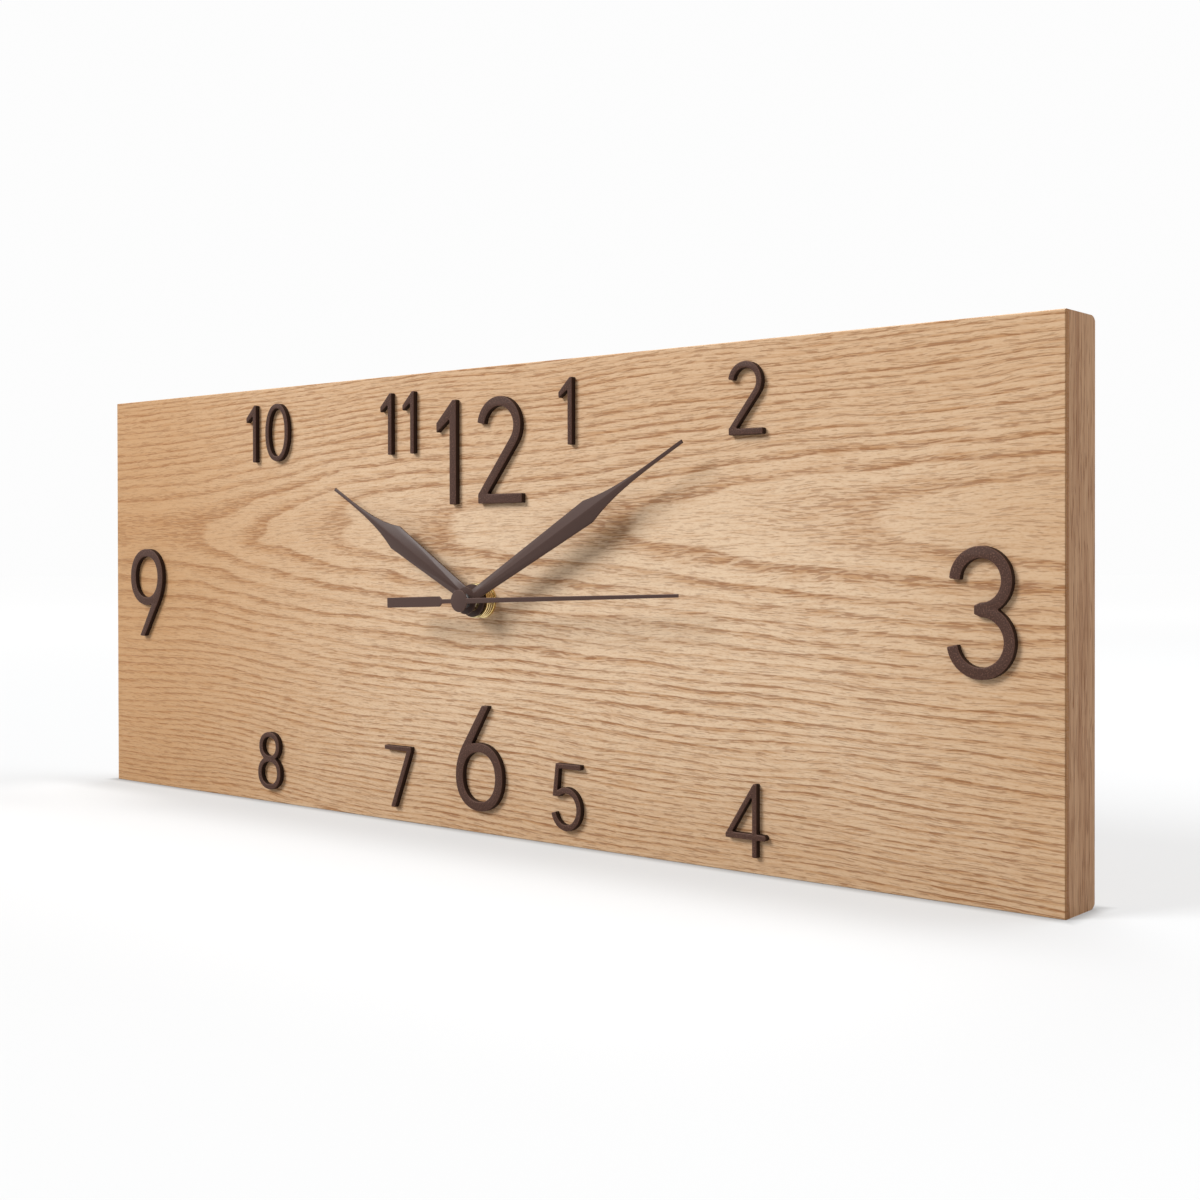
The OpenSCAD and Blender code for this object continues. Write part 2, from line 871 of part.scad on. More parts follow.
module cover_screws() {
    color("silver")
        for (x = [-1, 1], y = [post_at, low_post]) {
            layer(cover_front - cover_screw_len, train_depth)
                translate([x * post_at, y])
                    circle(cover_screw_r);
            layer(train_depth, train_depth + 1)
                difference() {
                    translate([x * post_at, y])
                        circle(1.6);
                    translate([x * post_at - 2, y - 0.2])
                        square([4, 0.4]);
                }
        }
}

// Phases of the wheels, each set by the wheel that it meshes with
second_phase = mid_dir;
mid_pinion_phase = meshed(50, second_phase, mid_dir, 10);
mid_phase = rotor_dir;
rotor_phase = meshed(48, mid_phase, rotor_dir, 8);
second_pinion_phase = third_dir;
third_phase = meshed(8, second_pinion_phase, third_dir, 60);
third_pinion_phase = third_dir;
centre_phase = meshed(8, third_pinion_phase, third_dir + 180, 64);
cannon_phase = minute_dir;
minute_phase = meshed(10, cannon_phase, minute_dir, 30);
minute_pinion_phase = minute_dir;
hour_phase = meshed(8, minute_pinion_phase, minute_dir + 180, 32);
set_phase = meshed(30, minute_phase, set_dir, 10);

module hour_wheel() {
    color("ivory")
        difference() {
            union() {
                layer(1.4, 2.4)
                    polygon(teeth(32, mod_motion, hour_phase));
                on_axis()
                    translate([0, 0, case_front - 2.4])
                        cylinder(r = hour_pipe_r, h = hour_z + 0.5 - case_front + 2.4);
            }
            on_axis()
                translate([0, 0, case_front - 2.4 - cut])
                    cylinder(r = minute_pipe_r + run_gap, h = hour_z - case_front + 5);
        }
}

module arbor(p, r) {
    arbor_hole(p, r, front_wall - pivot_depth + 0.1, cover_front + pivot_depth - 0.1);
}

module minute_wheel() {
    color("ivory")
        union() {
            layer(1.3, 3)
                at(minute_xy)
                    polygon(teeth(8, mod_motion, minute_pinion_phase));
            layer(3, 3.9)
                at(minute_xy)
                    polygon(teeth(30, mod_motion, minute_phase));
            arbor(minute_xy, wheel_arbor_r);
        }
}

module cannon_pinion() {
    color("silver")
        difference() {
            union() {
                layer(2.7, 4.4)
                    polygon(teeth(10, mod_motion, cannon_phase));
                layer(2.5, 6.1)
                    circle(1.2);
                layer(5.65, 6.1)
                    circle(2.4);
                on_axis()
                    translate([0, 0, case_front - 2.7])
                        cylinder(r = minute_pipe_r, h = minute_z + 0.5 - case_front + 2.7);
            }
            on_axis()
                translate([0, 0, case_front - 6.1 - cut])
                    cylinder(r = arbor_r + run_gap, h = minute_z - case_front + 9);
        }
}

module centre_wheel() {
    color("ivory")
        layer(4.8, 5.6)
            difference() {
                polygon(teeth(64, mod_centre, centre_phase));
                circle(1.2 + run_gap);
            }
}

module clutch_spring() {
    color("silver")
        layer(4.45, 4.75)
            difference() {
                circle(2.8);
                circle(1.2 + fit);
            }
}

module third_wheel() {
    color("ivory")
        union() {
            layer(4.5, 6.4)
                at(third_xy)
                    polygon(teeth(8, mod_centre, third_pinion_phase));
            layer(6.4, 7.2)
                at(third_xy)
                    polygon(teeth(60, mod_third, third_phase));
            arbor(third_xy, wheel_arbor_r);
        }
}

module second_wheel() {
    color("ivory")
        difference() {
            union() {
                layer(6.2, 8)
                    polygon(teeth(8, mod_third, second_pinion_phase));
                layer(8, 8.8)
                    polygon(teeth(50, mod_second, second_phase));
                layer(8.8, 10)
                    circle(1.4);
            }
            layer(6.2 - cut, 10 + cut)
                circle(arbor_r + fit);
        }
}

module second_arbor() {
    color("silver")
        on_axis()
            translate([0, 0, case_front - cover_front - pivot_depth + 0.1])
                cylinder(r = arbor_r, h = second_z - hand_t - case_front + cover_front + pivot_depth - 0.1);
}

module intermediate_wheel() {
    color("ivory")
        union() {
            layer(7.7, 9.6)
                at(mid_xy)
                    polygon(teeth(10, mod_second, mid_pinion_phase));
            layer(9.6, 10.4)
                at(mid_xy)
                    polygon(teeth(48, mod_second, mid_phase));
            arbor(mid_xy, wheel_arbor_r);
        }
}

module rotor_pinion() {
    color("ivory")
        union() {
            layer(9.1, 10.6)
                at(rotor_xy)
                    polygon(teeth(8, mod_second, rotor_phase));
            arbor(rotor_xy, rotor_arbor_r);
        }
}

module rotor_magnet() {
    color("gray")
        layer(6.6, 9.1)
            at(rotor_xy)
                difference() {
                    circle(magnet_r);
                    circle(rotor_arbor_r + fit);
                }
}

// Flat iron loop: a ring round the rotor, two arms and the core that the coil sits on
module stator() {
    arm = 3;
    color("silver")
        layer(stator_front, stator_front + stator_t)
            difference() {
                union() {
                    at(rotor_xy)
                        circle(stator_hole_r + 1.3);
                    polygon(ribbon([rotor_xy + [-1, -3], [stator_bend, coil_low], [coil_x - 4.4, coil_low]], arm));
                    polygon(ribbon([rotor_xy + [-1.5, 2.5], [stator_bend, coil_high], [coil_x - 4.4, coil_high]], arm));
                    translate([coil_x - 1, coil_low])
                        square([2, coil_high - coil_low]);
                }
                at(rotor_xy)
                    circle(stator_hole_r);
            }
}

bobbin_low = coil_low + 2.4;
bobbin_high = coil_high - 2.4;
coil_level = stator_front + stator_t / 2;

// Bar along the coil, round the middle of the iron core
module coil_bar(r, low, high) {
    translate([dial_x + coil_x, dial_y + high, case_front - coil_level])
        rotate([90, 0, 0])
            cylinder(r = r, h = high - low);
}

module coil_bobbin() {
    color("white")
        difference() {
            union() {
                coil_bar(1.6, bobbin_low, bobbin_high);
                coil_bar(3.1, bobbin_low, bobbin_low + 0.8);
                coil_bar(3.1, bobbin_high - 0.8, bobbin_high);
            }
            layer(stator_front - fit, stator_front + stator_t + fit)
                translate([coil_x - 1 - fit, coil_low])
                    square([2 + 2 * fit, coil_high - coil_low]);
        }
}

module coil_winding() {
    color("orange")
        difference() {
            coil_bar(2.9, bobbin_low + 0.8 + fit, bobbin_high - 0.8 - fit);
            coil_bar(1.6 + fit, bobbin_low, bobbin_high);
        }
}

module circuit_board() {
    color("green")
        layer(board_depth, board_depth + board_thick)
            difference() {
                translate([circuit_x, circuit_y])
                    square([circuit_w, circuit_h]);
                translate([post_at - post_r - 0.3, circuit_y - cut])
                    square([2 * post_r + cut, low_post + post_r + 0.3 - circuit_y + cut]);
            }
}

module control_chip() {
    color("black")
        layer(board_depth + board_thick, board_depth + board_thick + 1.2)
            translate([circuit_x + circuit_w / 2, circuit_y + 6.9])
                circle(3);
}

module quartz_crystal() {
    color("silver")
        translate([dial_x + circuit_x + 3.5, dial_y + circuit_y + 13.9, case_front - board_depth - board_thick - 1])
            rotate([0, 90, 0])
                cylinder(r = 1, h = 6);
}

module battery_cell() {
    color("darkgreen")
        translate([dial_x, dial_y + cell_y, case_front - cell_depth])
            rotate([0, 90, 0])
                union() {
                    translate([0, 0, -cell_len / 2 - 0.1])
                        cylinder(r = cell_d / 2, h = cell_len);
                    translate([0, 0, cell_len / 2 - 0.1])
                        cylinder(r = 2.7, h = 1);
                }
}

// Block between two depths, with its corners in the dial plane
module block(low, high, front, back) {
    layer(front, back)
        translate(low)
            square(high - low);
}

module positive_contact() {
    x = cell_len / 2 + 0.9 + fit;
    tab = contact_front + 2;
    deep = cell_depth + 4;
    color("silver")
        union() {
            block([x, cell_y - 4], [x + contact_t, cell_y + 4], contact_front, deep);
            block([x, cell_y + 4], [x + contact_t, strip_y + contact_t], contact_front, tab);
            block([post_at - post_r - 2.8, strip_y], [x, strip_y + contact_t], contact_front, tab);
            block([x + contact_t, cell_y - 4], [inside_r, cell_y - 3.4], contact_front, deep);
        }
}

// Leaf that bows from the bay's wall to the flat end of the cell
module negative_contact() {
    x = -inside_r;
    t = contact_t;
    tip = inside_r - cell_len / 2 - 0.1 - fit;
    tab = contact_front + 2;
    color("silver")
        union() {
            layer(cell_depth - 4, cell_depth + 3)
                translate([x, cell_y])
                    polygon([[0, -6], [t, -6], [t, -5], [tip, -0.6], [tip, 0.6], [t, 5], [t, 6], [0, 6], [0, 5],
                        [tip - t, 0.6], [tip - t, -0.6], [0, -5]]);
            block([x, cell_y + 5.5], [x + t, strip_y + t], contact_front, tab);
            block([x + t, strip_y], [circuit_x + 2.4, strip_y + t], contact_front, tab);
        }
}

module setting_shaft() {
    color("ivory")
        union() {
            layer(2.9, 4.1)
                at(set_xy)
                    polygon(teeth(10, mod_motion, set_phase));
            arbor_hole(set_xy, set_arbor_r, front_wall - pivot_depth + 0.1, train_depth + 2.2);
        }
}

module setting_knob() {
    color("white")
        layer(train_depth + 0.2, train_depth + 2.2)
            at(set_xy)
                difference() {
                    circle(knob_d / 2);
                    for (i = [0 : 17])
                        rotate(20 * i)
                            translate([knob_d / 2 + 0.2, 0])
                                circle(0.6);
                    circle(set_arbor_r + fit);
                }
}

module hanger_plate() {
    color("silver")
        translate([0, hanger_y, 0])
            difference() {
                linear_extrude(height = hanger_t)
                    difference() {
                        plate_outline(0);
                        keyhole(0);
                    }
                screw_pair(fit, screw_len);
                for (x = [-1, 1])
                    translate([x * screw_x, 0, -cut])
                        cylinder(r = screw_head_r + fit, h = head_sink + cut);
            }
}

module hanger_screws() {
    color("gray")
        translate([0, hanger_y, 0])
            difference() {
                screw_pair(0, screw_len);
                for (x = [-1, 1])
                    translate([x * screw_x - 4, -0.4, -cut])
                        cube([8, 0.8, cut + head_sink + 0.6]);
            }
}

stand() face_panel();
stand() core_panel();
stand() back_veneer();
stand() lipping_top();
stand() lipping_bottom();
stand() lipping_left();
stand() lipping_right();
stand() numeral_1();
stand() numeral_2();
stand() numeral_3();
stand() numeral_4();
stand() numeral_5();
stand() numeral_6();
stand() numeral_7();
stand() numeral_8();
stand() numeral_9();
stand() numeral_10();
stand() numeral_11();
stand() numeral_12();
stand() hour_hand();
stand() hour_hand_bush();
stand() minute_hand();
stand() minute_hand_bush();
stand() second_hand();
stand() second_hand_tube();
stand() fixing_nut();
stand() fixing_washer();
stand() threaded_bush();
stand() case_gasket();
stand() movement_case();
stand() rear_cover();
stand() cover_screws();
stand() hour_wheel();
stand() minute_wheel();
stand() cannon_pinion();
stand() centre_wheel();
stand() clutch_spring();
stand() third_wheel();
stand() second_wheel();
stand() second_arbor();
stand() intermediate_wheel();
stand() rotor_pinion();
stand() rotor_magnet();
stand() stator();
stand() coil_bobbin();
stand() coil_winding();
stand() circuit_board();
stand() control_chip();
stand() quartz_crystal();
stand() battery_cell();
stand() positive_contact();
stand() negative_contact();
stand() setting_shaft();
stand() setting_knob();
stand() hanger_plate();
stand() hanger_screws();
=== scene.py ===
"""Plank wall clock.

Eased copies of its face, numerals and hands, a finish for every surface, the light and the camera.
"""

import json
import math

import bmesh
import bpy
from bpy.props import FloatProperty, FloatVectorProperty, PointerProperty
from mathutils import Matrix, Vector
from mathutils.geometry import tessellate_polygon


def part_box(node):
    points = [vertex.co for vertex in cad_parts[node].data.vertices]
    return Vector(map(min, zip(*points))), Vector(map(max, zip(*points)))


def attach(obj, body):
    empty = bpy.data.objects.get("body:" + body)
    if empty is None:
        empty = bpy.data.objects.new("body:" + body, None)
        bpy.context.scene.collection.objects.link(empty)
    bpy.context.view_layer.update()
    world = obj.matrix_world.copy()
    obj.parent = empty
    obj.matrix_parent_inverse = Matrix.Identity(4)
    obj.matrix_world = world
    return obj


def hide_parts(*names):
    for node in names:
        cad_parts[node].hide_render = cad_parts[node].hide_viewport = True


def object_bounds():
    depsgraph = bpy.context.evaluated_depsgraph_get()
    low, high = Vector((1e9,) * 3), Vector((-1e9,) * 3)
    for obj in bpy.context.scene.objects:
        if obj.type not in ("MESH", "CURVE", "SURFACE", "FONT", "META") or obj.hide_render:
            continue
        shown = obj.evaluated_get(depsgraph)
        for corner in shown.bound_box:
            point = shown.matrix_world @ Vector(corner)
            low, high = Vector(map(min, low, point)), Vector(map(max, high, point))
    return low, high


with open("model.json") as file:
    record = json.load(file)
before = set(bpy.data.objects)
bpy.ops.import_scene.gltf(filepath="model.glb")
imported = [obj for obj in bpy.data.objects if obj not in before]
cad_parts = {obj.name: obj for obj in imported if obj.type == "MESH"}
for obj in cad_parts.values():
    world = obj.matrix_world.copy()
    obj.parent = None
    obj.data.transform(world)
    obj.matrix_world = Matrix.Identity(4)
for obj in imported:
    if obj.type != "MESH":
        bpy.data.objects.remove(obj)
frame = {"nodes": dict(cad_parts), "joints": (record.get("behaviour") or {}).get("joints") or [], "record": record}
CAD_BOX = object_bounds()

bl_info = {
    "name": "Plank Wall Clock",
    "version": (1, 0, 0),
    "blender": (4, 5, 0),
    "location": "3D View > Sidebar > Clock",
    "description": "Finishes an oak plank clock with raised numerals, and sets its stage",
    "category": "Object",
}

MM = 0.001
NODES = frame["nodes"]
SLOT_OF = {part["node"]: part["material_slot"] for part in frame["record"]["subparts"]}
BODY_OF = {
    node: body
    for body, members in frame["record"]["behaviour"]["bodies"].items()
    for node in members
}
HAND_AXIS = next(Vector(j["pos_m"]) for j in frame["joints"] if j["name"] == "minute_hand_turn")
FACE_LOW, FACE_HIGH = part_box("face_panel")
FACE_MIDDLE = (FACE_LOW + FACE_HIGH) / 2
BOARD_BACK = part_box("back_veneer")[1].y
BOARD_MIDDLE = Vector((FACE_MIDDLE.x, (FACE_LOW.y + BOARD_BACK) / 2, FACE_MIDDLE.z))
BOARD_HALF_WIDTH = (FACE_HIGH.x - FACE_LOW.x) / 2 / MM
BOARD_HALF_DEPTH = (BOARD_BACK - FACE_LOW.y) / 2 / MM
NUMERALS = [f"numeral_{hour}" for hour in range(1, 13)]
HANDS = ["hour_hand", "minute_hand", "second_hand"]

# Axes that straight grain runs along
LEVEL = 0
UPRIGHT = 2

# How near to each other points, levels and planes count as one
SAME_POINT = 0.001 * MM
SAME_LEVEL = 0.01 * MM
SAME_PLANE = math.radians(0.5)

# Edges of a solid this sharp are rounded, and edges of an eased piece this sharp are shaded sharp
RIM_ANGLE = math.radians(32)
EASED_SHARP = math.radians(13)
NUMERAL_SHARP = math.radians(40)

# Numerals' outlines: the front's normal along y, the least distance between points, the widest
# opening that is still a corner, and the most of a side that a corner's rounding takes
FRONT_NORMAL = -0.99
OUTLINE_STEP = 0.15 * MM
CORNER_OPENING = math.radians(148)
CORNER_SHARE = 0.45

# Numerals' roundings: steps along a corner, turns round the front rim, and the least cosine of
# half a turn, which keeps an inset corner from running far out
CORNER_STEPS = (0.0, 0.2, 0.4, 0.6, 0.8, 1.0)
RIM_TURNS = [math.radians(angle) for angle in (0, 30, 60, 90)]
LEAST_COSINE = 0.5


def srgb(red, green, blue):
    """Linear colour of an 8-bit screen colour."""
    return tuple(
        c / 12.92 if c <= 0.04045 else ((c + 0.055) / 1.055) ** 2.4
        for c in (red / 255, green / 255, blue / 255)
    )


def opaque(colour):
    """Colour with a full alpha, as a colour socket takes it."""
    return (*colour, 1.0)


def shaded(colour, *shares):
    """Colour with its channels scaled, all by one share or each by its own."""
    return tuple(channel * share for channel, share in zip(colour, shares * 3))


def colour_property(name, description, *screen_colour):
    """Colour setting with its default given as a screen colour."""
    return FloatVectorProperty(
        name=name, description=description, subtype="COLOR", size=3, min=0.0, max=1.0,
        default=srgb(*screen_colour))


def length_property(name, description, millimetres):
    """Length setting with its default given in millimetres."""
    return FloatProperty(
        name=name, description=description, unit="LENGTH", default=millimetres * MM)


def angle_property(name, description, degrees):
    """Angle setting with its default given in degrees."""
    return FloatProperty(
        name=name, description=description, subtype="ANGLE", default=math.radians(degrees))


def number_property(name, description, default, **limits):
    """Setting without a unit."""
    return FloatProperty(name=name, description=description, default=default, **limits)


class OakSettings(bpy.types.PropertyGroup):
    """Colours and growth rings of the board."""

    latewood: colour_property("Latewood", "Pale wood between the ring lines", 234, 206, 174)
    earlywood: colour_property("Earlywood", "Brown of the porous ring lines", 186, 134, 84)
    pores: colour_property("Pores", "Brown of the open pores", 142, 90, 54)
    honey: colour_property("Honey", "Deeper tone of the pale wood towards the ends", 204, 162, 118)
    end_grain: colour_property("End grain", "Ends of the face panel", 152, 102, 62)
    lipping: colour_property(
        "Upright lipping", "Straight-grained strips at the ends", 208, 164, 124)
    level_lipping: colour_property(
        "Level lipping", "Straight-grained strips above and below", 216, 184, 150)
    veneer: colour_property("Veneer", "Straight-grained sheet on the back", 214, 180, 142)
    ring_spacing: length_property(
        "Ring spacing", "Distance between growth rings near the face", 3.15)
    ring_crowding: number_property(
        "Ring crowding", "How much narrower the rings get outwards, per metre", 15.0)
    upper_crowding: number_property(
        "Upper crowding", "How much narrower the rings are above the pith and just below it", 0.42)
    pith_height: length_property(
        "Pith height", "Height of the rings' axis above the board's middle", 24.0)
    pith_depth: length_property(
        "Pith depth", "Depth of the rings' axis behind the face, at the trunk's bend", 49.0)
    bend_place: length_property(
        "Bend place", "Where the trunk's taper changes, from the board's middle", -55.0)
    bend_length: length_property("Bend length", "Length over which the taper changes", 25.0)
    straight_left: length_property(
        "Straight left", "How far left of the bend the taper ends", 88.0)
    taper_left: number_property("Left taper", "Slope of the pith left of the bend", 0.089)
    taper_right: number_property("Right taper", "Slope of the pith right of the bend", 0.042)


class CoatSettings(bpy.types.PropertyGroup):
    """Coats of the numerals and the hands, and the easing of edges."""

    numeral: colour_property("Numeral coat", "Dark brown textured coat", 81, 57, 48)
    # Painted shade: the numerals' cut flanks are darkened in colour, though the coat is the same colour there
    flank_shade: colour_property(
        "Numeral flanks", "Deeper tone of the coat on the cut flanks", 50, 34, 27)
    hand: colour_property("Hand coat", "Dark brown satin coat", 82, 62, 56)
    numeral_corner: length_property(
        "Numeral corner", "Rounding of the numerals' corners, seen from the front", 0.4)
    numeral_ease: length_property(
        "Numeral ease", "Rounding of the numerals' front edges", 0.3)
    hand_ease: length_property("Hand ease", "Rounding of the hands' edges", 0.18)
    crease: angle_property(
        "Crease", "How much steeper the fold of the blades looks than it is", 9)
    board_ease: length_property("Board ease", "Rounding of the board's front edges", 0.35)


class MetalSettings(bpy.types.PropertyGroup):
    """Colours of the bare metals."""

    brass: colour_property("Brass", "Nut, washer and bushes", 246, 222, 164)
    steel: colour_property("Steel", "Arbors, bushes, screws and contacts", 200, 200, 200)
    zinc: colour_property("Zinc", "Hanger plate", 196, 200, 204)
    plating: colour_property("Plating", "Screws of the hanger plate", 176, 160, 122)
    copper: colour_property("Copper", "Wire of the motor coil", 206, 120, 70)


class StageSettings(bpy.types.PropertyGroup):
    """Light and camera."""

    key: number_property("Key light", "Strength of the soft key", 2.64, min=0.0)
    key_spread: angle_property("Key spread", "How wide the soft key is, as an angle", 26)
    top: number_property("Top light", "Power of the softbox above and behind", 15.0, min=0.0)
    sky: number_property("Sky", "Level of the light from all round", 0.42, min=0.0)
    fill: FloatVectorProperty(
        name="Fill", description="Tint of the light from all round", subtype="COLOR", size=3,
        min=0.0, max=1.0, default=(1.0, 0.95, 0.9))
    white: number_property("White", "Level of the background as it is seen", 0.98)
    lens: number_property("Lens", "Focal length in millimetres", 49.54, min=1.0)
    azimuth: angle_property("Azimuth", "Turn of the camera to the clock's right", 39.8625)
    elevation: angle_property("Elevation", "Downward tilt of the camera", 0.4513)
    roll: angle_property("Roll", "Turn of the camera about its own axis", -0.0921)
    shift: number_property("Shift", "Vertical shift of the camera's frame", -0.02931)
    place: FloatVectorProperty(
        name="Place", description="Where the camera stands", subtype="TRANSLATION",
        unit="LENGTH", size=3, default=(0.37165, -0.40141, -0.03641))


class Field:
    """A socket of a node tree, so that shader maths reads as plain expressions."""

    def __init__(self, nodes, socket):
        self.nodes = nodes
        self.socket = socket

    def math(self, operation, *others):
        return self.nodes.maths(operation, self, *others)

    def __add__(self, other):
        return self.math("ADD", other)

    __radd__ = __add__

    def __sub__(self, other):
        return self.math("SUBTRACT", other)

    def __rsub__(self, other):
        return self.nodes.maths("SUBTRACT", other, self)

    def __mul__(self, other):
        return self.math("MULTIPLY", other)

    __rmul__ = __mul__

    def __truediv__(self, other):
        return self.math("DIVIDE", other)

    def wave(self, pitch):
        """Sine of this field, with its crests a pitch apart."""
        return (self * (math.tau / pitch)).math("SINE")


class Nodes:
    """A node tree in the making."""

    def __init__(self, tree):
        self.tree = tree

    def add(self, kind, settings=None, sockets=None, output=0):
        """New node: its settings first, then its sockets' values or links. Returns one output."""
        node = self.tree.nodes.new("ShaderNode" + kind)
        for name, value in (settings or {}).items():
            setattr(node, name, value)
        for name, value in (sockets or {}).items():
            if isinstance(value, Field):
                self.tree.links.new(value.socket, node.inputs[name])
            else:
                node.inputs[name].default_value = value
        return Field(self, node.outputs[output])

    def maths(self, operation, *values):
        return self.add("Math", {"operation": operation}, dict(enumerate(values)))

    def vector(self, operation, *values):
        return self.add("VectorMath", {"operation": operation}, dict(enumerate(values)))

    def seen(self):
        """1 for rays that see a surface, straight or mirrored, and 0 for those that only light."""
        rays = ("Is Camera Ray", "Is Glossy Ray", "Is Transmission Ray")
        straight, mirrored, through = (self.add("LightPath", output=ray) for ray in rays)
        return straight.math("MAXIMUM", mirrored).math("MAXIMUM", through)


class Finish(Nodes):
    """A material in the making: its nodes, and the shader that they feed."""

    def __init__(self, name, constants):
        self.material = bpy.data.materials.new(name)
        self.material.use_nodes = True
        super().__init__(self.material.node_tree)
        self.shader = self.tree.nodes["Principled BSDF"]
        for socket, value in constants.items():
            self.shader.inputs[socket].default_value = value

    def feed(self, **fields):
        """Links fields to the shader's sockets, named in lower case with underscores."""
        for name, field in fields.items():
            self.tree.links.new(field.socket, self.shader.inputs[name.replace("_", " ").title()])

    def point(self, origin):
        """Place on the piece, in millimetres from origin."""
        here = self.add("TexCoord", output="Object")
        return self.vector("DIVIDE", self.vector("SUBTRACT", here, tuple(origin)), (MM, MM, MM))

    def split(self, vector):
        return [self.add("SeparateXYZ", None, {0: vector}, axis) for axis in "XYZ"]

    def normal(self):
        return self.split(self.add("TexCoord", output="Normal"))

    def noise(self, point, size, *, detail, seed):
        """Soft noise from 0 to 1 whose spots measure size in millimetres, even or for each axis."""
        sizes = size if isinstance(size, tuple) else (size, size, size)
        place = (seed, 1.7 * seed, 0.6 * seed)
        cells = self.vector("ADD", self.vector("DIVIDE", point, sizes), place)
        return self.add("TexNoise", None, {"Vector": cells, "Scale": 1.0, "Detail": detail})

    def smooth(self, value, low, high):
        """Soft step from 0 at low to 1 at high."""
        sockets = {"Value": value, "From Min": low, "From Max": high}
        return self.add("MapRange", {"interpolation_type": "SMOOTHSTEP"}, sockets)

    def mix(self, factor, first, second):
        """Colour that goes from first to second."""
        colours = [c if isinstance(c, Field) else opaque(c) for c in (first, second)]
        return self.add("Mix", {"data_type": "RGBA"}, {0: factor, 6: colours[0], 7: colours[1]}, 2)

    def bump(self, height, depth):
        """Normal of a relief that is depth millimetres high where the height field is 1."""
        return self.add("Bump", None, {"Strength": 1.0, "Distance": depth * MM, "Height": height})


def ring_count(finish, oak, point):
    """Number of growth rings from the pith, and where the face cuts them steeply.

    The rings are cones about a bent axis behind the face. Lengths are in millimetres.
    """
    along, _, up = finish.split(point)
    bend_length = oak.bend_length / MM
    pith_depth = oak.pith_depth / MM
    just_below, blunting = -14.0, 7.0

    # Slow and quick unevenness of the trunk
    sway = 7 * (finish.noise(point, (85, 40, 32), detail=1, seed=3.1) - 0.5)
    lobe = 34 * (finish.noise(point, (46, 30, 11), detail=1, seed=4.7) - 0.5)
    fray = 5 * (finish.noise(point, (6, 4, 0.7), detail=3, seed=1.2) - 0.5)
    waver = finish.noise(point, (24, 12, 5), detail=3, seed=8.4) - 0.5

    # Depth of the axis behind the face, along the bent trunk
    past_bend = along + lobe + fray - oak.bend_place / MM
    past_bend = past_bend.math("SMOOTH_MAX", -oak.straight_left / MM, bend_length)
    bend = (past_bend * past_bend + bend_length**2).math("SQRT")
    mean_taper = (oak.taper_left + oak.taper_right) / 2
    taper_change = (oak.taper_left - oak.taper_right) / 2
    depth = pith_depth - mean_taper * past_bend + taper_change * bend

    # Distance from the axis, blunted so that the noses of the rings are round
    height = up - oak.pith_height / MM + sway
    height = height + oak.upper_crowding * height.math("MAXIMUM", just_below)
    square = height * height
    blunt = square * square / (square + blunting**2)
    outwards = (blunt + depth * depth).math("SQRT") - pith_depth
    rings = outwards * (1 + outwards * (oak.ring_crowding * MM / 2)) / (oak.ring_spacing / MM)

    # Rings of unequal width, where the face cuts them steeply
    steep = finish.smooth(height.math("ABSOLUTE"), 4, 30)
    years = finish.add("CombineXYZ", None, {0: rings * 0.55})
    season = finish.noise(years, 1, detail=1, seed=2.4) - 0.5
    return rings + waver * (0.12 + 0.5 * steep) + season * steep, steep


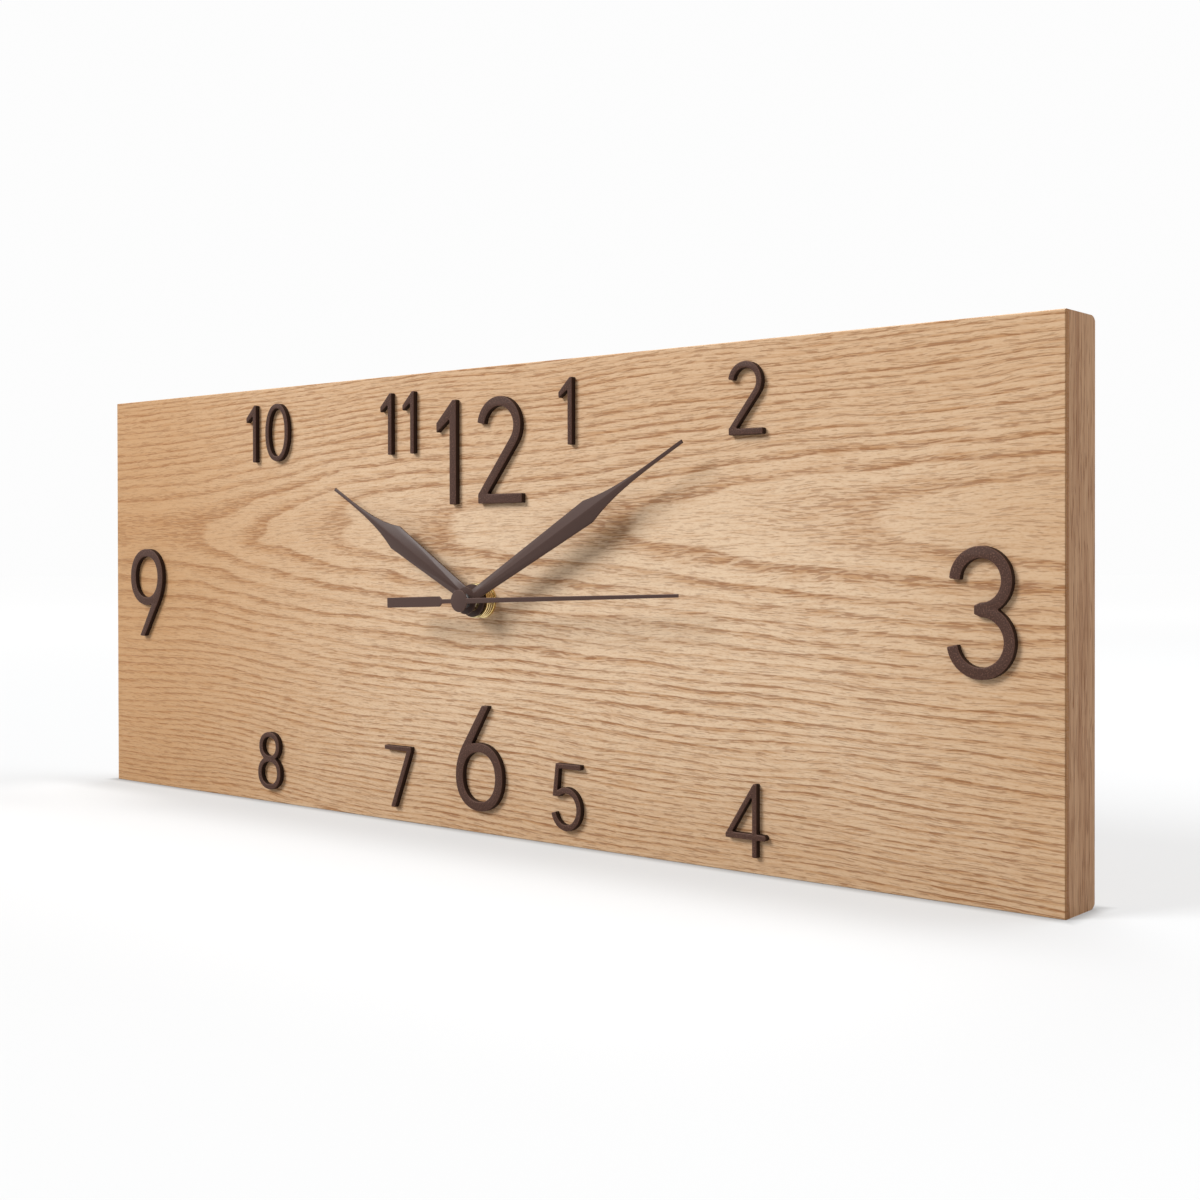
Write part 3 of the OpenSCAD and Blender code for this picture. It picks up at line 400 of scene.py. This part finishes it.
def oak_face(oak):
    """Flat-sawn oak: ring lines that start sharp and fade outwards, broken by pores and fibres."""
    first_ring = 0.57
    finish = Finish("oak_face", {"Specular IOR Level": 0.22})
    point = finish.point(FACE_MIDDLE)
    along, _, up = finish.split(point)
    rings, steep = ring_count(finish, oak, point)
    rings = rings + first_ring
    turn = rings.math("FRACT")

    # Ring lines with a darker core, each of its own weight
    rise = finish.smooth(turn, 0.0, 0.1)
    band = rise * (1 - finish.smooth(turn, 0.14, 0.7))
    core = rise * (1 - finish.smooth(turn, 0.08, 0.3))
    ring_and_place = finish.add(
        "CombineXYZ", None, {0: rings.math("FLOOR") * 1.37, 1: along / 70, 2: up / 90})
    chance = finish.noise(ring_and_place, 1, detail=1, seed=5.5)
    weight = 0.5 + 0.5 * finish.smooth(chance, 0.32, 0.6)
    band = band * weight

    # Pores, fibres and flecks, which run with the trunk and wander a little
    wander = 5 * (finish.noise(point, (42, 20, 13), detail=2, seed=9.1) - 0.5)
    tilt = along * (0.06 * finish.smooth(up, -30, 50) - 0.035)
    flow = finish.vector("ADD", point, finish.add("CombineXYZ", None, {2: wander - tilt}))
    vessels = finish.noise(flow, (4.2, 2, 0.3), detail=1, seed=7.7)
    fibre = finish.noise(flow, (12, 4, 0.55), detail=4, seed=4.4)
    fleck = finish.noise(flow, (1.4, 1, 0.26), detail=3, seed=1.9)
    pores = finish.smooth(vessels + 0.12 * band, 0.56, 0.7)

    # Deeper tone towards the board's ends and long edges
    left = 1 - finish.smooth(along, -200, 30)
    right = finish.smooth(along, 110, 210)
    low = 1 - finish.smooth(up, -95, -15)
    high = finish.smooth(up, 10, 70)
    honey = left.math("MAXIMUM", 0.55 * right)
    honey = honey.math("MAXIMUM", 0.6 * low.math("MAXIMUM", high))

    tone = finish.mix(honey, oak.latewood, oak.honey)
    tone = finish.mix(finish.smooth(fibre, 0.44, 0.74) * 0.38, tone, oak.earlywood)
    broken = 0.26 + 0.42 * finish.smooth(fibre, 0.35, 0.65)
    tone = finish.mix(band * broken, tone, oak.earlywood)
    tone = finish.mix(core * weight * (0.1 + 0.1 * steep), tone, oak.pores)
    tone = finish.mix(pores * (0.36 + 0.26 * band) * (1 - 0.3 * left), tone, oak.pores)
    tone = finish.mix(finish.smooth(fleck, 0.46, 0.72) * 0.32, tone, oak.earlywood)

    # End grain of the panel
    across, _, _ = finish.normal()
    end = finish.smooth(across.math("ABSOLUTE"), 0.6, 0.9)
    layers = finish.smooth(finish.noise(point, (1, 0.5, 40), detail=2, seed=5.1), 0.35, 0.65)
    tone = finish.mix(end, tone, finish.mix(layers, oak.end_grain, oak.earlywood))
    finish.feed(
        base_color=tone,
        roughness=0.5 + 0.16 * pores + 0.06 * fibre,
        normal=finish.bump(1 - 0.8 * pores + 0.1 * fibre, 0.06),
    )
    return finish.material


def oak_straight(name, colour, along_axis, seed):
    """Straight-grained oak: long streaks of unequal width, and short pores, along one axis."""
    finish = Finish(name, {"Specular IOR Level": 0.22})
    point = finish.point(FACE_MIDDLE)

    def streak(length, width):
        return tuple(length if axis == along_axis else width for axis in range(3))

    bend = finish.noise(point, streak(45, 30), detail=1, seed=seed + 1)
    sideways = finish.add("CombineXYZ", None, dict.fromkeys(range(3), 3 * bend))
    point = finish.vector("ADD", point, sideways)
    lines = finish.noise(point, streak(60, 0.9), detail=3, seed=seed)
    band = finish.noise(point, streak(110, 3.2), detail=2, seed=seed + 2)
    vessels = finish.noise(point, streak(9, 0.42), detail=2, seed=seed + 4)
    pores = finish.smooth(vessels + 0.25 * band, 0.66, 0.78)
    fibre = finish.noise(point, streak(14, 0.4), detail=3, seed=seed + 6)
    deep = shaded(colour, 0.7, 0.58, 0.48)
    dark = shaded(colour, 0.46, 0.34, 0.26)
    tone = finish.mix(finish.smooth(lines * 0.62 + band * 0.38, 0.38, 0.66), colour, deep)
    tone = finish.mix(finish.smooth(fibre, 0.42, 0.72) * 0.35, tone, deep)
    tone = finish.mix(pores * 0.85, tone, dark)
    finish.feed(
        base_color=tone,
        roughness=0.5 + 0.14 * pores,
        normal=finish.bump(1 - 0.8 * pores + 0.12 * fibre, 0.05),
    )
    return finish.material


def fibreboard():
    """Raw fibreboard: pale and dark specks without a direction."""
    finish = Finish("core_board", {"Roughness": 0.85, "Specular IOR Level": 0.2})
    point = finish.point(FACE_MIDDLE)
    specks = finish.noise(point, 0.5, detail=3, seed=1.0)
    cloud = finish.noise(point, 9, detail=1, seed=2.0)
    pale = finish.smooth(specks * 0.75 + cloud * 0.25, 0.34, 0.66)
    tone = finish.mix(pale, srgb(148, 112, 78), srgb(186, 150, 112))
    finish.feed(base_color=tone, normal=finish.bump(specks, 0.06))
    return finish.material


def numeral_coat(coat):
    """Textured powder coat: fine grains, some of them paler, a painted highlight on the front rims and painted
    shade on the flanks.
    """
    finish = Finish("numeral_coat", {"Specular IOR Level": 0.14})
    point = finish.point(FACE_MIDDLE)
    grains = finish.noise(point, 0.4, detail=2, seed=3.0)
    cloud = finish.noise(point, 6, detail=1, seed=5.0)
    pale = shaded(coat.numeral, 2.1)
    deep = shaded(coat.numeral, 0.72)
    tone = finish.mix(finish.smooth(grains, 0.32, 0.6), deep, coat.numeral)
    tone = finish.mix(finish.smooth(grains, 0.56, 0.7) * 0.8, tone, pale)
    _, away, _ = finish.normal()
    # Painted highlight: a paler band round the front rim, where it turns to the flanks
    painted_edge_highlight = finish.smooth(away, -0.985, -0.9) * (1 - finish.smooth(away, -0.75, -0.45))
    tone = finish.mix(painted_edge_highlight * 0.5, tone, pale)
    # Painted shade: the flanks are darkened, though the coat is the same colour there
    tone = finish.mix(finish.smooth(away, -0.8, -0.25), tone, coat.flank_shade)
    finish.feed(
        base_color=tone,
        roughness=0.42 + 0.2 * cloud,
        normal=finish.bump(grains, 0.035),
    )
    return finish.material


def hand_coat(coat, node, crease):
    """Satin coat over sheet metal: fine grains, a painted highlight along the edges, and a fold along the blade.
    """
    hub, blade_start, grain_height = 4, 10, 0.008
    finish = Finish("coat_of_" + node, {"Specular IOR Level": 0.18})
    point = finish.point(HAND_AXIS)
    across, _, up = finish.split(point)

    # Distance along the blade, and beside its middle line
    reaches = [v.co - HAND_AXIS for v in NODES[node].data.vertices]
    tip = max(reaches, key=lambda reach: math.hypot(reach.x, reach.z))
    blade = math.atan2(tip.z, tip.x)
    along = across * math.cos(blade) + up * math.sin(blade)
    beside = (across * math.sin(blade) - up * math.cos(blade)).math("ABSOLUTE")
    fold = beside * finish.smooth(along, hub, blade_start)

    grains = finish.noise(point, 0.2, detail=2, seed=7.0)
    cloud = finish.noise(point, 9, detail=1, seed=2.0)
    tone = finish.mix(finish.smooth(grains, 0.3, 0.7), shaded(coat.hand, 0.88), coat.hand)
    _, away, _ = finish.normal()
    # Painted highlight: the eased edges are made paler, as if they caught the light
    painted_edge_highlight = finish.smooth(away, -0.965, -0.88) * (1 - finish.smooth(away, -0.5, -0.2))
    tone = finish.mix(painted_edge_highlight * 0.8, tone, shaded(coat.hand, 2.4))
    finish.feed(
        base_color=tone,
        roughness=0.32 + 0.12 * cloud,
        normal=finish.bump(grain_height * grains - math.tan(crease) * fold, 1.0),
    )
    return finish.material


def turned_metal(name, colour, roughness):
    """Lathe-turned metal: fine ridges about the spindle, painted shade between them, and tarnish in clouds."""
    ridge_pitch = 1.0
    finish = Finish(name, {"Metallic": 1.0})
    point = finish.point(HAND_AXIS)
    across, depth, up = finish.split(point)
    radius = (across * across + up * up).math("SQRT")
    ridges = (radius * 1.1 + depth).wave(ridge_pitch) * 0.5 + 0.5
    cloud = finish.noise(point, 2.5, detail=2, seed=1.0)
    tone = finish.mix(finish.smooth(cloud, 0.35, 0.75) * 0.4, colour, shaded(colour, 0.66))
    # Painted shade in the grooves between the ridges
    groove_shade = 1 - finish.smooth(ridges, 0.1, 0.5)
    tone = finish.mix(groove_shade * 0.7, tone, shaded(colour, 0.3))
    finish.feed(
        base_color=tone,
        roughness=roughness + 0.14 * cloud,
        normal=finish.bump(ridges, 0.05),
    )
    return finish.material


def plated_metal(name, colour, roughness, spot):
    """Plated or rolled sheet: soft spangles in tone and gloss, and hair scratches."""
    finish = Finish(name, {"Metallic": 1.0})
    point = finish.point(FACE_MIDDLE)
    spangle = finish.noise(point, spot, detail=2, seed=4.0)
    hairs = finish.noise(point, (9, 0.12, 0.12), detail=2, seed=6.0)
    tone = finish.mix(finish.smooth(spangle, 0.3, 0.7), shaded(colour, 0.78), colour)
    finish.feed(
        base_color=tone,
        roughness=roughness + 0.2 * (spangle - 0.5) + 0.1 * (hairs - 0.5),
        normal=finish.bump(hairs, 0.004),
    )
    return finish.material


def moulded_plastic(name, colour, roughness, texture):
    """Moulded plastic: spark-eroded texture and a slight unevenness in gloss."""
    finish = Finish(name, {"Specular IOR Level": 0.45})
    point = finish.point(FACE_MIDDLE)
    grains = finish.noise(point, 0.22, detail=2, seed=5.0)
    cloud = finish.noise(point, 14, detail=2, seed=3.0)
    pale = finish.smooth(cloud * 0.7 + grains * 0.3, 0.3, 0.7)
    finish.feed(
        base_color=finish.mix(pale, shaded(colour, 0.86), colour),
        roughness=roughness + 0.14 * cloud,
        normal=finish.bump(grains, texture),
    )
    return finish.material


def wound_copper(metal):
    """Layers of enamelled wire, wound side by side, with painted shade between the turns."""
    wire_width = 0.16
    finish = Finish("copper", {"Metallic": 1.0})
    _, _, up = finish.split(finish.point(HAND_AXIS))
    wire = up.wave(wire_width) * 0.5 + 0.5
    # Painted shade between the turns of wire; the same wave raises the turns in the bump
    tone = finish.mix(wire, shaded(metal.copper, 0.5), metal.copper)
    finish.feed(base_color=tone, roughness=0.42 - 0.14 * wire, normal=finish.bump(wire, 0.05))
    return finish.material


def resist_board():
    """Circuit board: green resist with paler tracks and bare grey pads."""
    track_pitch, pad_pitch = 1.9, 2.7
    finish = Finish("circuit_board", {"Specular IOR Level": 0.5})
    point = finish.point(HAND_AXIS)
    across, _, up = finish.split(point)
    bend = finish.noise(point, 4, detail=0, seed=3.0)
    tracks = finish.smooth((up + 3 * bend).wave(track_pitch), 0.35, 0.55)
    pads = finish.smooth(across.wave(pad_pitch) * up.wave(pad_pitch), 0.86, 0.92)
    tone = finish.mix(tracks, srgb(24, 82, 46), srgb(48, 118, 66))
    tone = finish.mix(pads, tone, srgb(176, 178, 172))
    finish.feed(
        base_color=tone,
        roughness=0.34 + 0.1 * tracks,
        normal=finish.bump(tracks + pads, 0.03),
    )
    return finish.material


def cell_jacket():
    """Dry cell: green film with a pale band at the button's end, and bare steel at both ends."""
    low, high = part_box("battery_cell")
    half = (high.x - low.x) / 2 / MM
    button, bare_rim, band_length = 1.0, 0.6, 13.2
    finish = Finish("cell_jacket", {"Specular IOR Level": 0.5})
    point = finish.point((low + high) / 2)
    along, _, _ = finish.split(point)
    scuff = finish.noise(point, (12, 1.2, 1.2), detail=3, seed=2.0)
    band = finish.smooth(along, half - band_length, half - band_length + 0.2)
    tone = finish.mix(band, srgb(38, 82, 58), srgb(186, 176, 150))
    tone = finish.mix(finish.smooth(scuff, 0.56, 0.8) * 0.25, tone, srgb(150, 156, 148))
    flat_end = half - bare_rim
    button_end = flat_end - button
    ends = finish.smooth(along, button_end, button_end + 0.1)
    ends = ends.math("MAXIMUM", finish.smooth(-1 * along, flat_end, flat_end + 0.1))
    tone = finish.mix(ends, tone, srgb(196, 196, 194))
    finish.feed(
        base_color=tone,
        roughness=0.3 + 0.14 * scuff,
        metallic=ends,
        normal=finish.bump(scuff, 0.01),
    )
    return finish.material


def solid_shape(node):
    """Mesh of a solid, with its flat faces whole."""
    shape = bmesh.new()
    shape.from_mesh(NODES[node].data)
    bmesh.ops.remove_doubles(shape, verts=shape.verts, dist=SAME_POINT)
    bmesh.ops.dissolve_limit(
        shape, angle_limit=SAME_PLANE, verts=shape.verts, edges=shape.edges)
    return shape


def stand_in(node, shape, sharp_angle):
    """Piece made of shape that rides with a solid and stands in for it."""
    mesh = bpy.data.meshes.new(node + "_eased")
    shape.to_mesh(mesh)
    shape.free()
    mesh.set_sharp_from_angle(angle=sharp_angle)
    piece = bpy.data.objects.new(node + "_eased", mesh)
    bpy.context.scene.collection.objects.link(piece)
    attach(piece, BODY_OF[node])
    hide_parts(node)
    return piece


def eased_copy(node, width, keep):
    """Copy of a solid with those of its sharp edges rounded that keep() accepts."""
    shape = solid_shape(node)
    rims = [
        edge for edge in shape.edges
        if len(edge.link_faces) == 2 and edge.calc_face_angle() > RIM_ANGLE and keep(edge)
    ]
    bmesh.ops.bevel(
        shape, geom=rims, offset=width, segments=3, profile=0.5, affect="EDGES",
        clamp_overlap=True)
    bmesh.ops.triangulate(shape, faces=[face for face in shape.faces if len(face.verts) > 4])
    for face in shape.faces:
        face.smooth = True
    return stand_in(node, shape, EASED_SHARP)


def front_outlines(shape):
    """Outlines of a flat-fronted solid, seen from the front, each with the solid on its left."""
    fronts = {face for face in shape.faces if face.normal.y < FRONT_NORMAL}
    following = {}
    for face in sorted(fronts, key=lambda front: front.index):
        for corner in face.loops:
            if len(fronts.intersection(corner.edge.link_faces)) == 1:
                following[corner.vert] = corner.link_loop_next.vert
    outlines = []
    while following:
        first, here = following.popitem()
        outline = [first]
        while here is not first:
            outline.append(here)
            here = following.pop(here)
        outlines.append([Vector((v.co.x, v.co.z)) for v in outline])
    return outlines


def spaced_outline(points):
    """Outline without the points that almost meet the one before or the first."""
    spaced = points[:1]
    for point in points[1:]:
        if min((point - spaced[-1]).length, (point - spaced[0]).length) > OUTLINE_STEP:
            spaced.append(point)
    return spaced


def rounded_outline(points, radius):
    """Outline with its sharp corners rounded."""
    points = spaced_outline(points)
    outline = []
    for i, here in enumerate(points):
        back = points[i - 1] - here
        ahead = points[(i + 1) % len(points)] - here
        opening = back.angle(ahead)
        if opening > CORNER_OPENING:
            outline.append(here)
            continue
        reach = radius / math.tan(opening / 2)
        start = here + back.normalized() * min(reach, CORNER_SHARE * back.length)
        end = here + ahead.normalized() * min(reach, CORNER_SHARE * ahead.length)
        for step in CORNER_STEPS:
            outline.append(start.lerp(here, step).lerp(here.lerp(end, step), step))
    return outline


def turned_area(outline):
    """Area inside an outline, negative for that of a hole."""
    return sum(outline[i - 1].cross(here) for i, here in enumerate(outline)) / 2


def figures(outlines):
    """Outlines sorted into figures, each an outer outline and the holes in it."""
    outers = [outline for outline in outlines if turned_area(outline) >= 0]
    holes = [outline for outline in outlines if turned_area(outline) < 0]
    sorted_out = []
    for outer in outers:
        left = min(p.x for p in outer)
        right = max(p.x for p in outer)
        sorted_out.append([outer, *(hole for hole in holes if left < hole[0].x < right)])
    return sorted_out


def inset(outline, distance):
    """Outline moved to its left."""
    moved = []
    for i, here in enumerate(outline):
        before = (here - outline[i - 1]).normalized()
        after = (outline[(i + 1) % len(outline)] - here).normalized()
        way = (before + after).normalized()
        left = Vector((-way.y, way.x))
        moved.append(here + left * (distance / max(way.dot(after), LEAST_COSINE)))
    return moved


def eased_numeral(node, corner, ease):
    """Numeral with rounded corners and a rounded front rim, from the outlines of its solid."""
    solid = solid_shape(node)
    outlines = [rounded_outline(points, corner) for points in front_outlines(solid)]
    front = min(v.co.y for v in solid.verts)
    back = max(v.co.y for v in solid.verts)
    solid.free()
    levels = [(0.0, back)]
    levels += [(ease * (1 - math.cos(a)), front + ease * (1 - math.sin(a))) for a in RIM_TURNS]
    shape = bmesh.new()
    for figure in figures(outlines):
        rims = [
            [
                [shape.verts.new((p.x, level, p.y)) for p in inset(outline, distance)]
                for outline in figure
            ]
            for distance, level in levels
        ]
        for lower, upper in zip(rims, rims[1:]):
            for near, far in zip(lower, upper):
                for i in range(len(near)):
                    side = shape.faces.new((near[i - 1], near[i], far[i], far[i - 1]))
                    side.smooth = True
        for rim in (rims[0], rims[-1]):
            corners = [v for outline in rim for v in outline]
            for triple in tessellate_polygon([[v.co for v in outline] for outline in rim]):
                shape.faces.new([corners[i] for i in triple])
    bmesh.ops.recalc_face_normals(shape, faces=shape.faces)
    return stand_in(node, shape, NUMERAL_SHARP)


def dress(pieces, material):
    """Gives pieces one material in place of their own."""
    for piece in pieces:
        piece.data.materials.clear()
        piece.data.materials.append(material)


def nodes_in(slot):
    """Solids that the record gives this material slot."""
    return [NODES[node] for node, name in SLOT_OF.items() if name == slot]


class CLOCK_OT_face(bpy.types.Operator):
    """Oak face of the board, with eased front edges"""

    bl_idname = "clock.face"
    bl_label = "Oak face"

    def execute(self, context):
        oak = context.scene.clock_oak
        ease = context.scene.clock_coat.board_ease
        front = FACE_LOW.y + SAME_LEVEL
        face = eased_copy("face_panel", ease, lambda edge: all(v.co.y < front for v in edge.verts))
        dress([face], oak_face(oak))
        return {"FINISHED"}


class CLOCK_OT_board(bpy.types.Operator):
    """Lipping, core and back veneer of the board"""

    bl_idname = "clock.board"
    bl_label = "Board"

    def execute(self, context):
        oak = context.scene.clock_oak
        upright = oak_straight("oak_lipping_upright", oak.lipping, UPRIGHT, seed=3.0)
        level = oak_straight("oak_lipping_level", oak.level_lipping, LEVEL, seed=7.0)
        veneer = oak_straight("back_veneer", oak.veneer, LEVEL, seed=11.0)
        dress([NODES["lipping_left"], NODES["lipping_right"]], upright)
        dress([NODES["lipping_top"], NODES["lipping_bottom"]], level)
        dress(nodes_in("back_veneer"), veneer)
        dress(nodes_in("core_board"), fibreboard())
        return {"FINISHED"}


class CLOCK_OT_numerals(bpy.types.Operator):
    """Twelve numerals with rounded corners and eased front edges"""

    bl_idname = "clock.numerals"
    bl_label = "Numerals"

    def execute(self, context):
        coat = context.scene.clock_coat
        corner, ease = coat.numeral_corner, coat.numeral_ease
        dress([eased_numeral(node, corner, ease) for node in NUMERALS], numeral_coat(coat))
        return {"FINISHED"}


class CLOCK_OT_hands(bpy.types.Operator):
    """Hour, minute and second hand, with eased edges"""

    bl_idname = "clock.hands"
    bl_label = "Hands"

    def execute(self, context):
        coat = context.scene.clock_coat
        for node in HANDS:
            piece = eased_copy(node, coat.hand_ease, lambda edge: True)
            crease = 0.0 if node == "second_hand" else coat.crease
            dress([piece], hand_coat(coat, node, crease))
        return {"FINISHED"}


class CLOCK_OT_spindle(bpy.types.Operator):
    """Brass and steel on the hands' spindle, the steel fittings and the gasket"""

    bl_idname = "clock.spindle"
    bl_label = "Spindle"

    def execute(self, context):
        metal = context.scene.clock_metal
        dress(nodes_in("brass"), turned_metal("brass", metal.brass, 0.2))
        dress(nodes_in("steel"), turned_metal("steel", metal.steel, 0.24))
        rubber = moulded_plastic("gasket_rubber", srgb(44, 44, 44), 0.7, 0.03)
        dress(nodes_in("gasket_rubber"), rubber)
        return {"FINISHED"}


class CLOCK_OT_movement(bpy.types.Operator):
    """Case, cover, knob and cell of the movement, and the pieces inside it"""

    bl_idname = "clock.movement"
    bl_label = "Movement"

    # Colour, roughness and depth of the texture in millimetres
    plastics = {
        "case_plastic": (srgb(52, 53, 56), 0.45, 0.03),
        "wheel_plastic": (srgb(232, 228, 216), 0.36, 0.006),
        "knob_plastic": (srgb(216, 216, 210), 0.4, 0.012),
        "chip_resin": (srgb(34, 34, 34), 0.2, 0.004),
    }
    # Colour, roughness and width of the spangles in millimetres
    metals = {
        "magnet": (srgb(110, 110, 116), 0.45, 0.6),
        "stator_iron": (srgb(168, 168, 172), 0.36, 1.2),
        "crystal_can": (srgb(206, 206, 208), 0.2, 2.0),
    }

    def execute(self, context):
        for slot, look in self.plastics.items():
            dress(nodes_in(slot), moulded_plastic(slot, *look))
        for slot, look in self.metals.items():
            dress(nodes_in(slot), plated_metal(slot, *look))
        dress(nodes_in("copper"), wound_copper(context.scene.clock_metal))
        dress(nodes_in("circuit_board"), resist_board())
        dress(nodes_in("cell_jacket"), cell_jacket())
        return {"FINISHED"}


class CLOCK_OT_hanger(bpy.types.Operator):
    """Keyhole plate and its screws"""

    bl_idname = "clock.hanger"
    bl_label = "Hanger"

    def execute(self, context):
        metal = context.scene.clock_metal
        dress([NODES["hanger_plate"]], plated_metal("zinc_plate", metal.zinc, 0.34, 3.0))
        dress([NODES["hanger_screws"]], plated_metal("screw_plating", metal.plating, 0.3, 0.8))
        return {"FINISHED"}


def floor_finish(white):
    """Grey paper that takes the shadow, and glows so much that the lit paper is seen as white, with painted light
    over part of the board's shade and a painted shadow line at its foot.
    """
    brightest, contact_shadow_width = 350, 5
    paper = opaque((0.333, 0.34, 0.347))
    constants = {"Base Color": paper, "Specular IOR Level": 0.0, "Emission Strength": white}
    finish = Finish("floor_paper", constants)
    across, depth, _ = finish.split(finish.point(BOARD_MIDDLE))
    beside = across.math("ABSOLUTE") - BOARD_HALF_WIDTH
    before = depth.math("ABSOLUTE") - BOARD_HALF_DEPTH
    ahead = -1 * depth - BOARD_HALF_DEPTH
    leftwards = -1 * across

    # The paper gets most light behind the board, and the glow makes up for less light elsewhere
    behind = depth - brightest
    away = (across * across + behind * behind).math("SQRT")

    # Painted light: more glow over the board's shade in front of it, at a distance and at the left end
    painted_front_light = finish.smooth(ahead, 12, 55) * (1 - finish.smooth(ahead, 55, 190))
    painted_front_light = painted_front_light * (1 - finish.smooth(beside, -60, 60))
    painted_left_light = finish.smooth(leftwards, 120, 185) * (1 - finish.smooth(leftwards, 190, 235))
    painted_left_light = painted_left_light * finish.smooth(ahead, 8, 26) * (1 - finish.smooth(ahead, 22, 60))

    # Painted shadow: a dark line where the board stands
    painted_contact_shadow = 1 - finish.smooth(beside.math("MAXIMUM", before), 0, contact_shadow_width)
    glow = 0.448 + 0.25 * finish.smooth(away, 50, 1800) + 0.15 * painted_front_light + 0.16 * painted_left_light
    glow = glow * (1 - 0.6 * painted_contact_shadow)
    finish.feed(emission_color=finish.mix(finish.seen() * glow, (0, 0, 0), (1, 1, 1)))
    return finish.material


class CLOCK_OT_stage(bpy.types.Operator):
    """White floor and background, soft light and the camera"""

    bl_idname = "clock.stage"
    bl_label = "Stage"

    def execute(self, context):
        stage = context.scene.clock_stage
        self.lay_floor(context.scene, stage)
        self.light_sky(context.scene, stage)
        self.hang_lamps(context.scene, stage)
        self.place_camera(context.scene, stage)
        context.scene.view_settings.view_transform = "Standard"
        return {"FINISHED"}

    def lay_floor(self, scene, stage):
        shape = bmesh.new()
        bmesh.ops.create_circle(shape, cap_ends=True, segments=96, radius=6.0)
        mesh = bpy.data.meshes.new("floor")
        shape.to_mesh(mesh)
        shape.free()
        floor = bpy.data.objects.new("floor", mesh)
        floor.location = (0.0, 0.0, CAD_BOX[0].z)
        scene.collection.objects.link(floor)
        mesh.materials.append(floor_finish(stage.white))

    def light_sky(self, scene, stage):
        world = bpy.data.worlds.new("studio")
        world.use_nodes = True
        nodes = Nodes(world.node_tree)
        plain = opaque((1.0, 1.0, 1.0))
        light = nodes.add("Background", None, {"Color": opaque(stage.fill), "Strength": stage.sky})
        backdrop = nodes.add("Background", None, {"Color": plain, "Strength": stage.white})
        either = nodes.add("MixShader", None, {0: nodes.seen(), 1: light, 2: backdrop})
        nodes.tree.links.new(either.socket, nodes.tree.nodes["World Output"].inputs["Surface"])
        scene.world = world

    def hang_lamps(self, scene, stage):
        key = bpy.data.lights.new("key", "SUN")
        key.angle = stage.key_spread
        key.energy = stage.key
        top = bpy.data.lights.new("top", "AREA")
        top.shape = "RECTANGLE"
        top.size = 1.4
        top.size_y = 0.8
        top.energy = stage.top
        for lamp, towards, distance in (
            (key, Vector((-0.75, -1.0, 0.875)), 1.4),
            (top, Vector((0.1, 0.5, 1.0)), 1.2),
        ):
            towards.normalize()
            holder = bpy.data.objects.new(lamp.name, lamp)
            holder.location = HAND_AXIS + distance * towards
            holder.rotation_euler = towards.to_track_quat("Z", "Y").to_euler()
            scene.collection.objects.link(holder)

    def place_camera(self, scene, stage):
        lens = bpy.data.cameras.new("camera")
        lens.sensor_width = 36.0
        lens.lens = stage.lens
        lens.shift_y = stage.shift
        lens.clip_start = 0.01
        lens.clip_end = 100.0
        camera = bpy.data.objects.new("camera", lens)
        turn, tilt, roll = stage.azimuth, stage.elevation, stage.roll
        level = math.cos(tilt)
        forward = Vector((-math.sin(turn) * level, math.cos(turn) * level, -math.sin(tilt)))
        right = Vector((math.cos(turn), math.sin(turn), 0.0))
        up = right.cross(forward)
        image_right = right * math.cos(roll) + up * math.sin(roll)
        image_up = up * math.cos(roll) - right * math.sin(roll)
        axes = Matrix((image_right, image_up, -forward)).transposed()
        camera.matrix_world = Matrix.Translation(stage.place) @ axes.to_4x4()
        scene.collection.objects.link(camera)
        scene.camera = camera


OPERATORS = (
    CLOCK_OT_face,
    CLOCK_OT_board,
    CLOCK_OT_numerals,
    CLOCK_OT_hands,
    CLOCK_OT_spindle,
    CLOCK_OT_movement,
    CLOCK_OT_hanger,
    CLOCK_OT_stage,
)


class CLOCK_PT_panel(bpy.types.Panel):
    """Steps and settings of the clock"""

    bl_idname = "CLOCK_PT_panel"
    bl_label = "Plank Wall Clock"
    bl_space_type = "VIEW_3D"
    bl_region_type = "UI"
    bl_category = "Clock"

    def draw(self, context):
        for operator in OPERATORS:
            self.layout.operator(operator.bl_idname)
        for name in SETTINGS:
            box = self.layout.box()
            settings = getattr(context.scene, name)
            for field in settings.__annotations__:
                box.prop(settings, field)


SETTINGS = {
    "clock_oak": OakSettings,
    "clock_coat": CoatSettings,
    "clock_metal": MetalSettings,
    "clock_stage": StageSettings,
}
CLASSES = (*SETTINGS.values(), *OPERATORS, CLOCK_PT_panel)


def register():
    for cls in CLASSES:
        bpy.utils.register_class(cls)
    for name, group in SETTINGS.items():
        setattr(bpy.types.Scene, name, PointerProperty(type=group))


def unregister():
    for name in SETTINGS:
        delattr(bpy.types.Scene, name)
    for cls in reversed(CLASSES):
        bpy.utils.unregister_class(cls)


def main():
    register()
    bpy.ops.clock.stage()
    bpy.ops.clock.face()
    bpy.ops.clock.board()
    bpy.ops.clock.numerals()
    bpy.ops.clock.hands()
    bpy.ops.clock.spindle()
    bpy.ops.clock.movement()
    bpy.ops.clock.hanger()


if __name__ == "__main__":
    main()
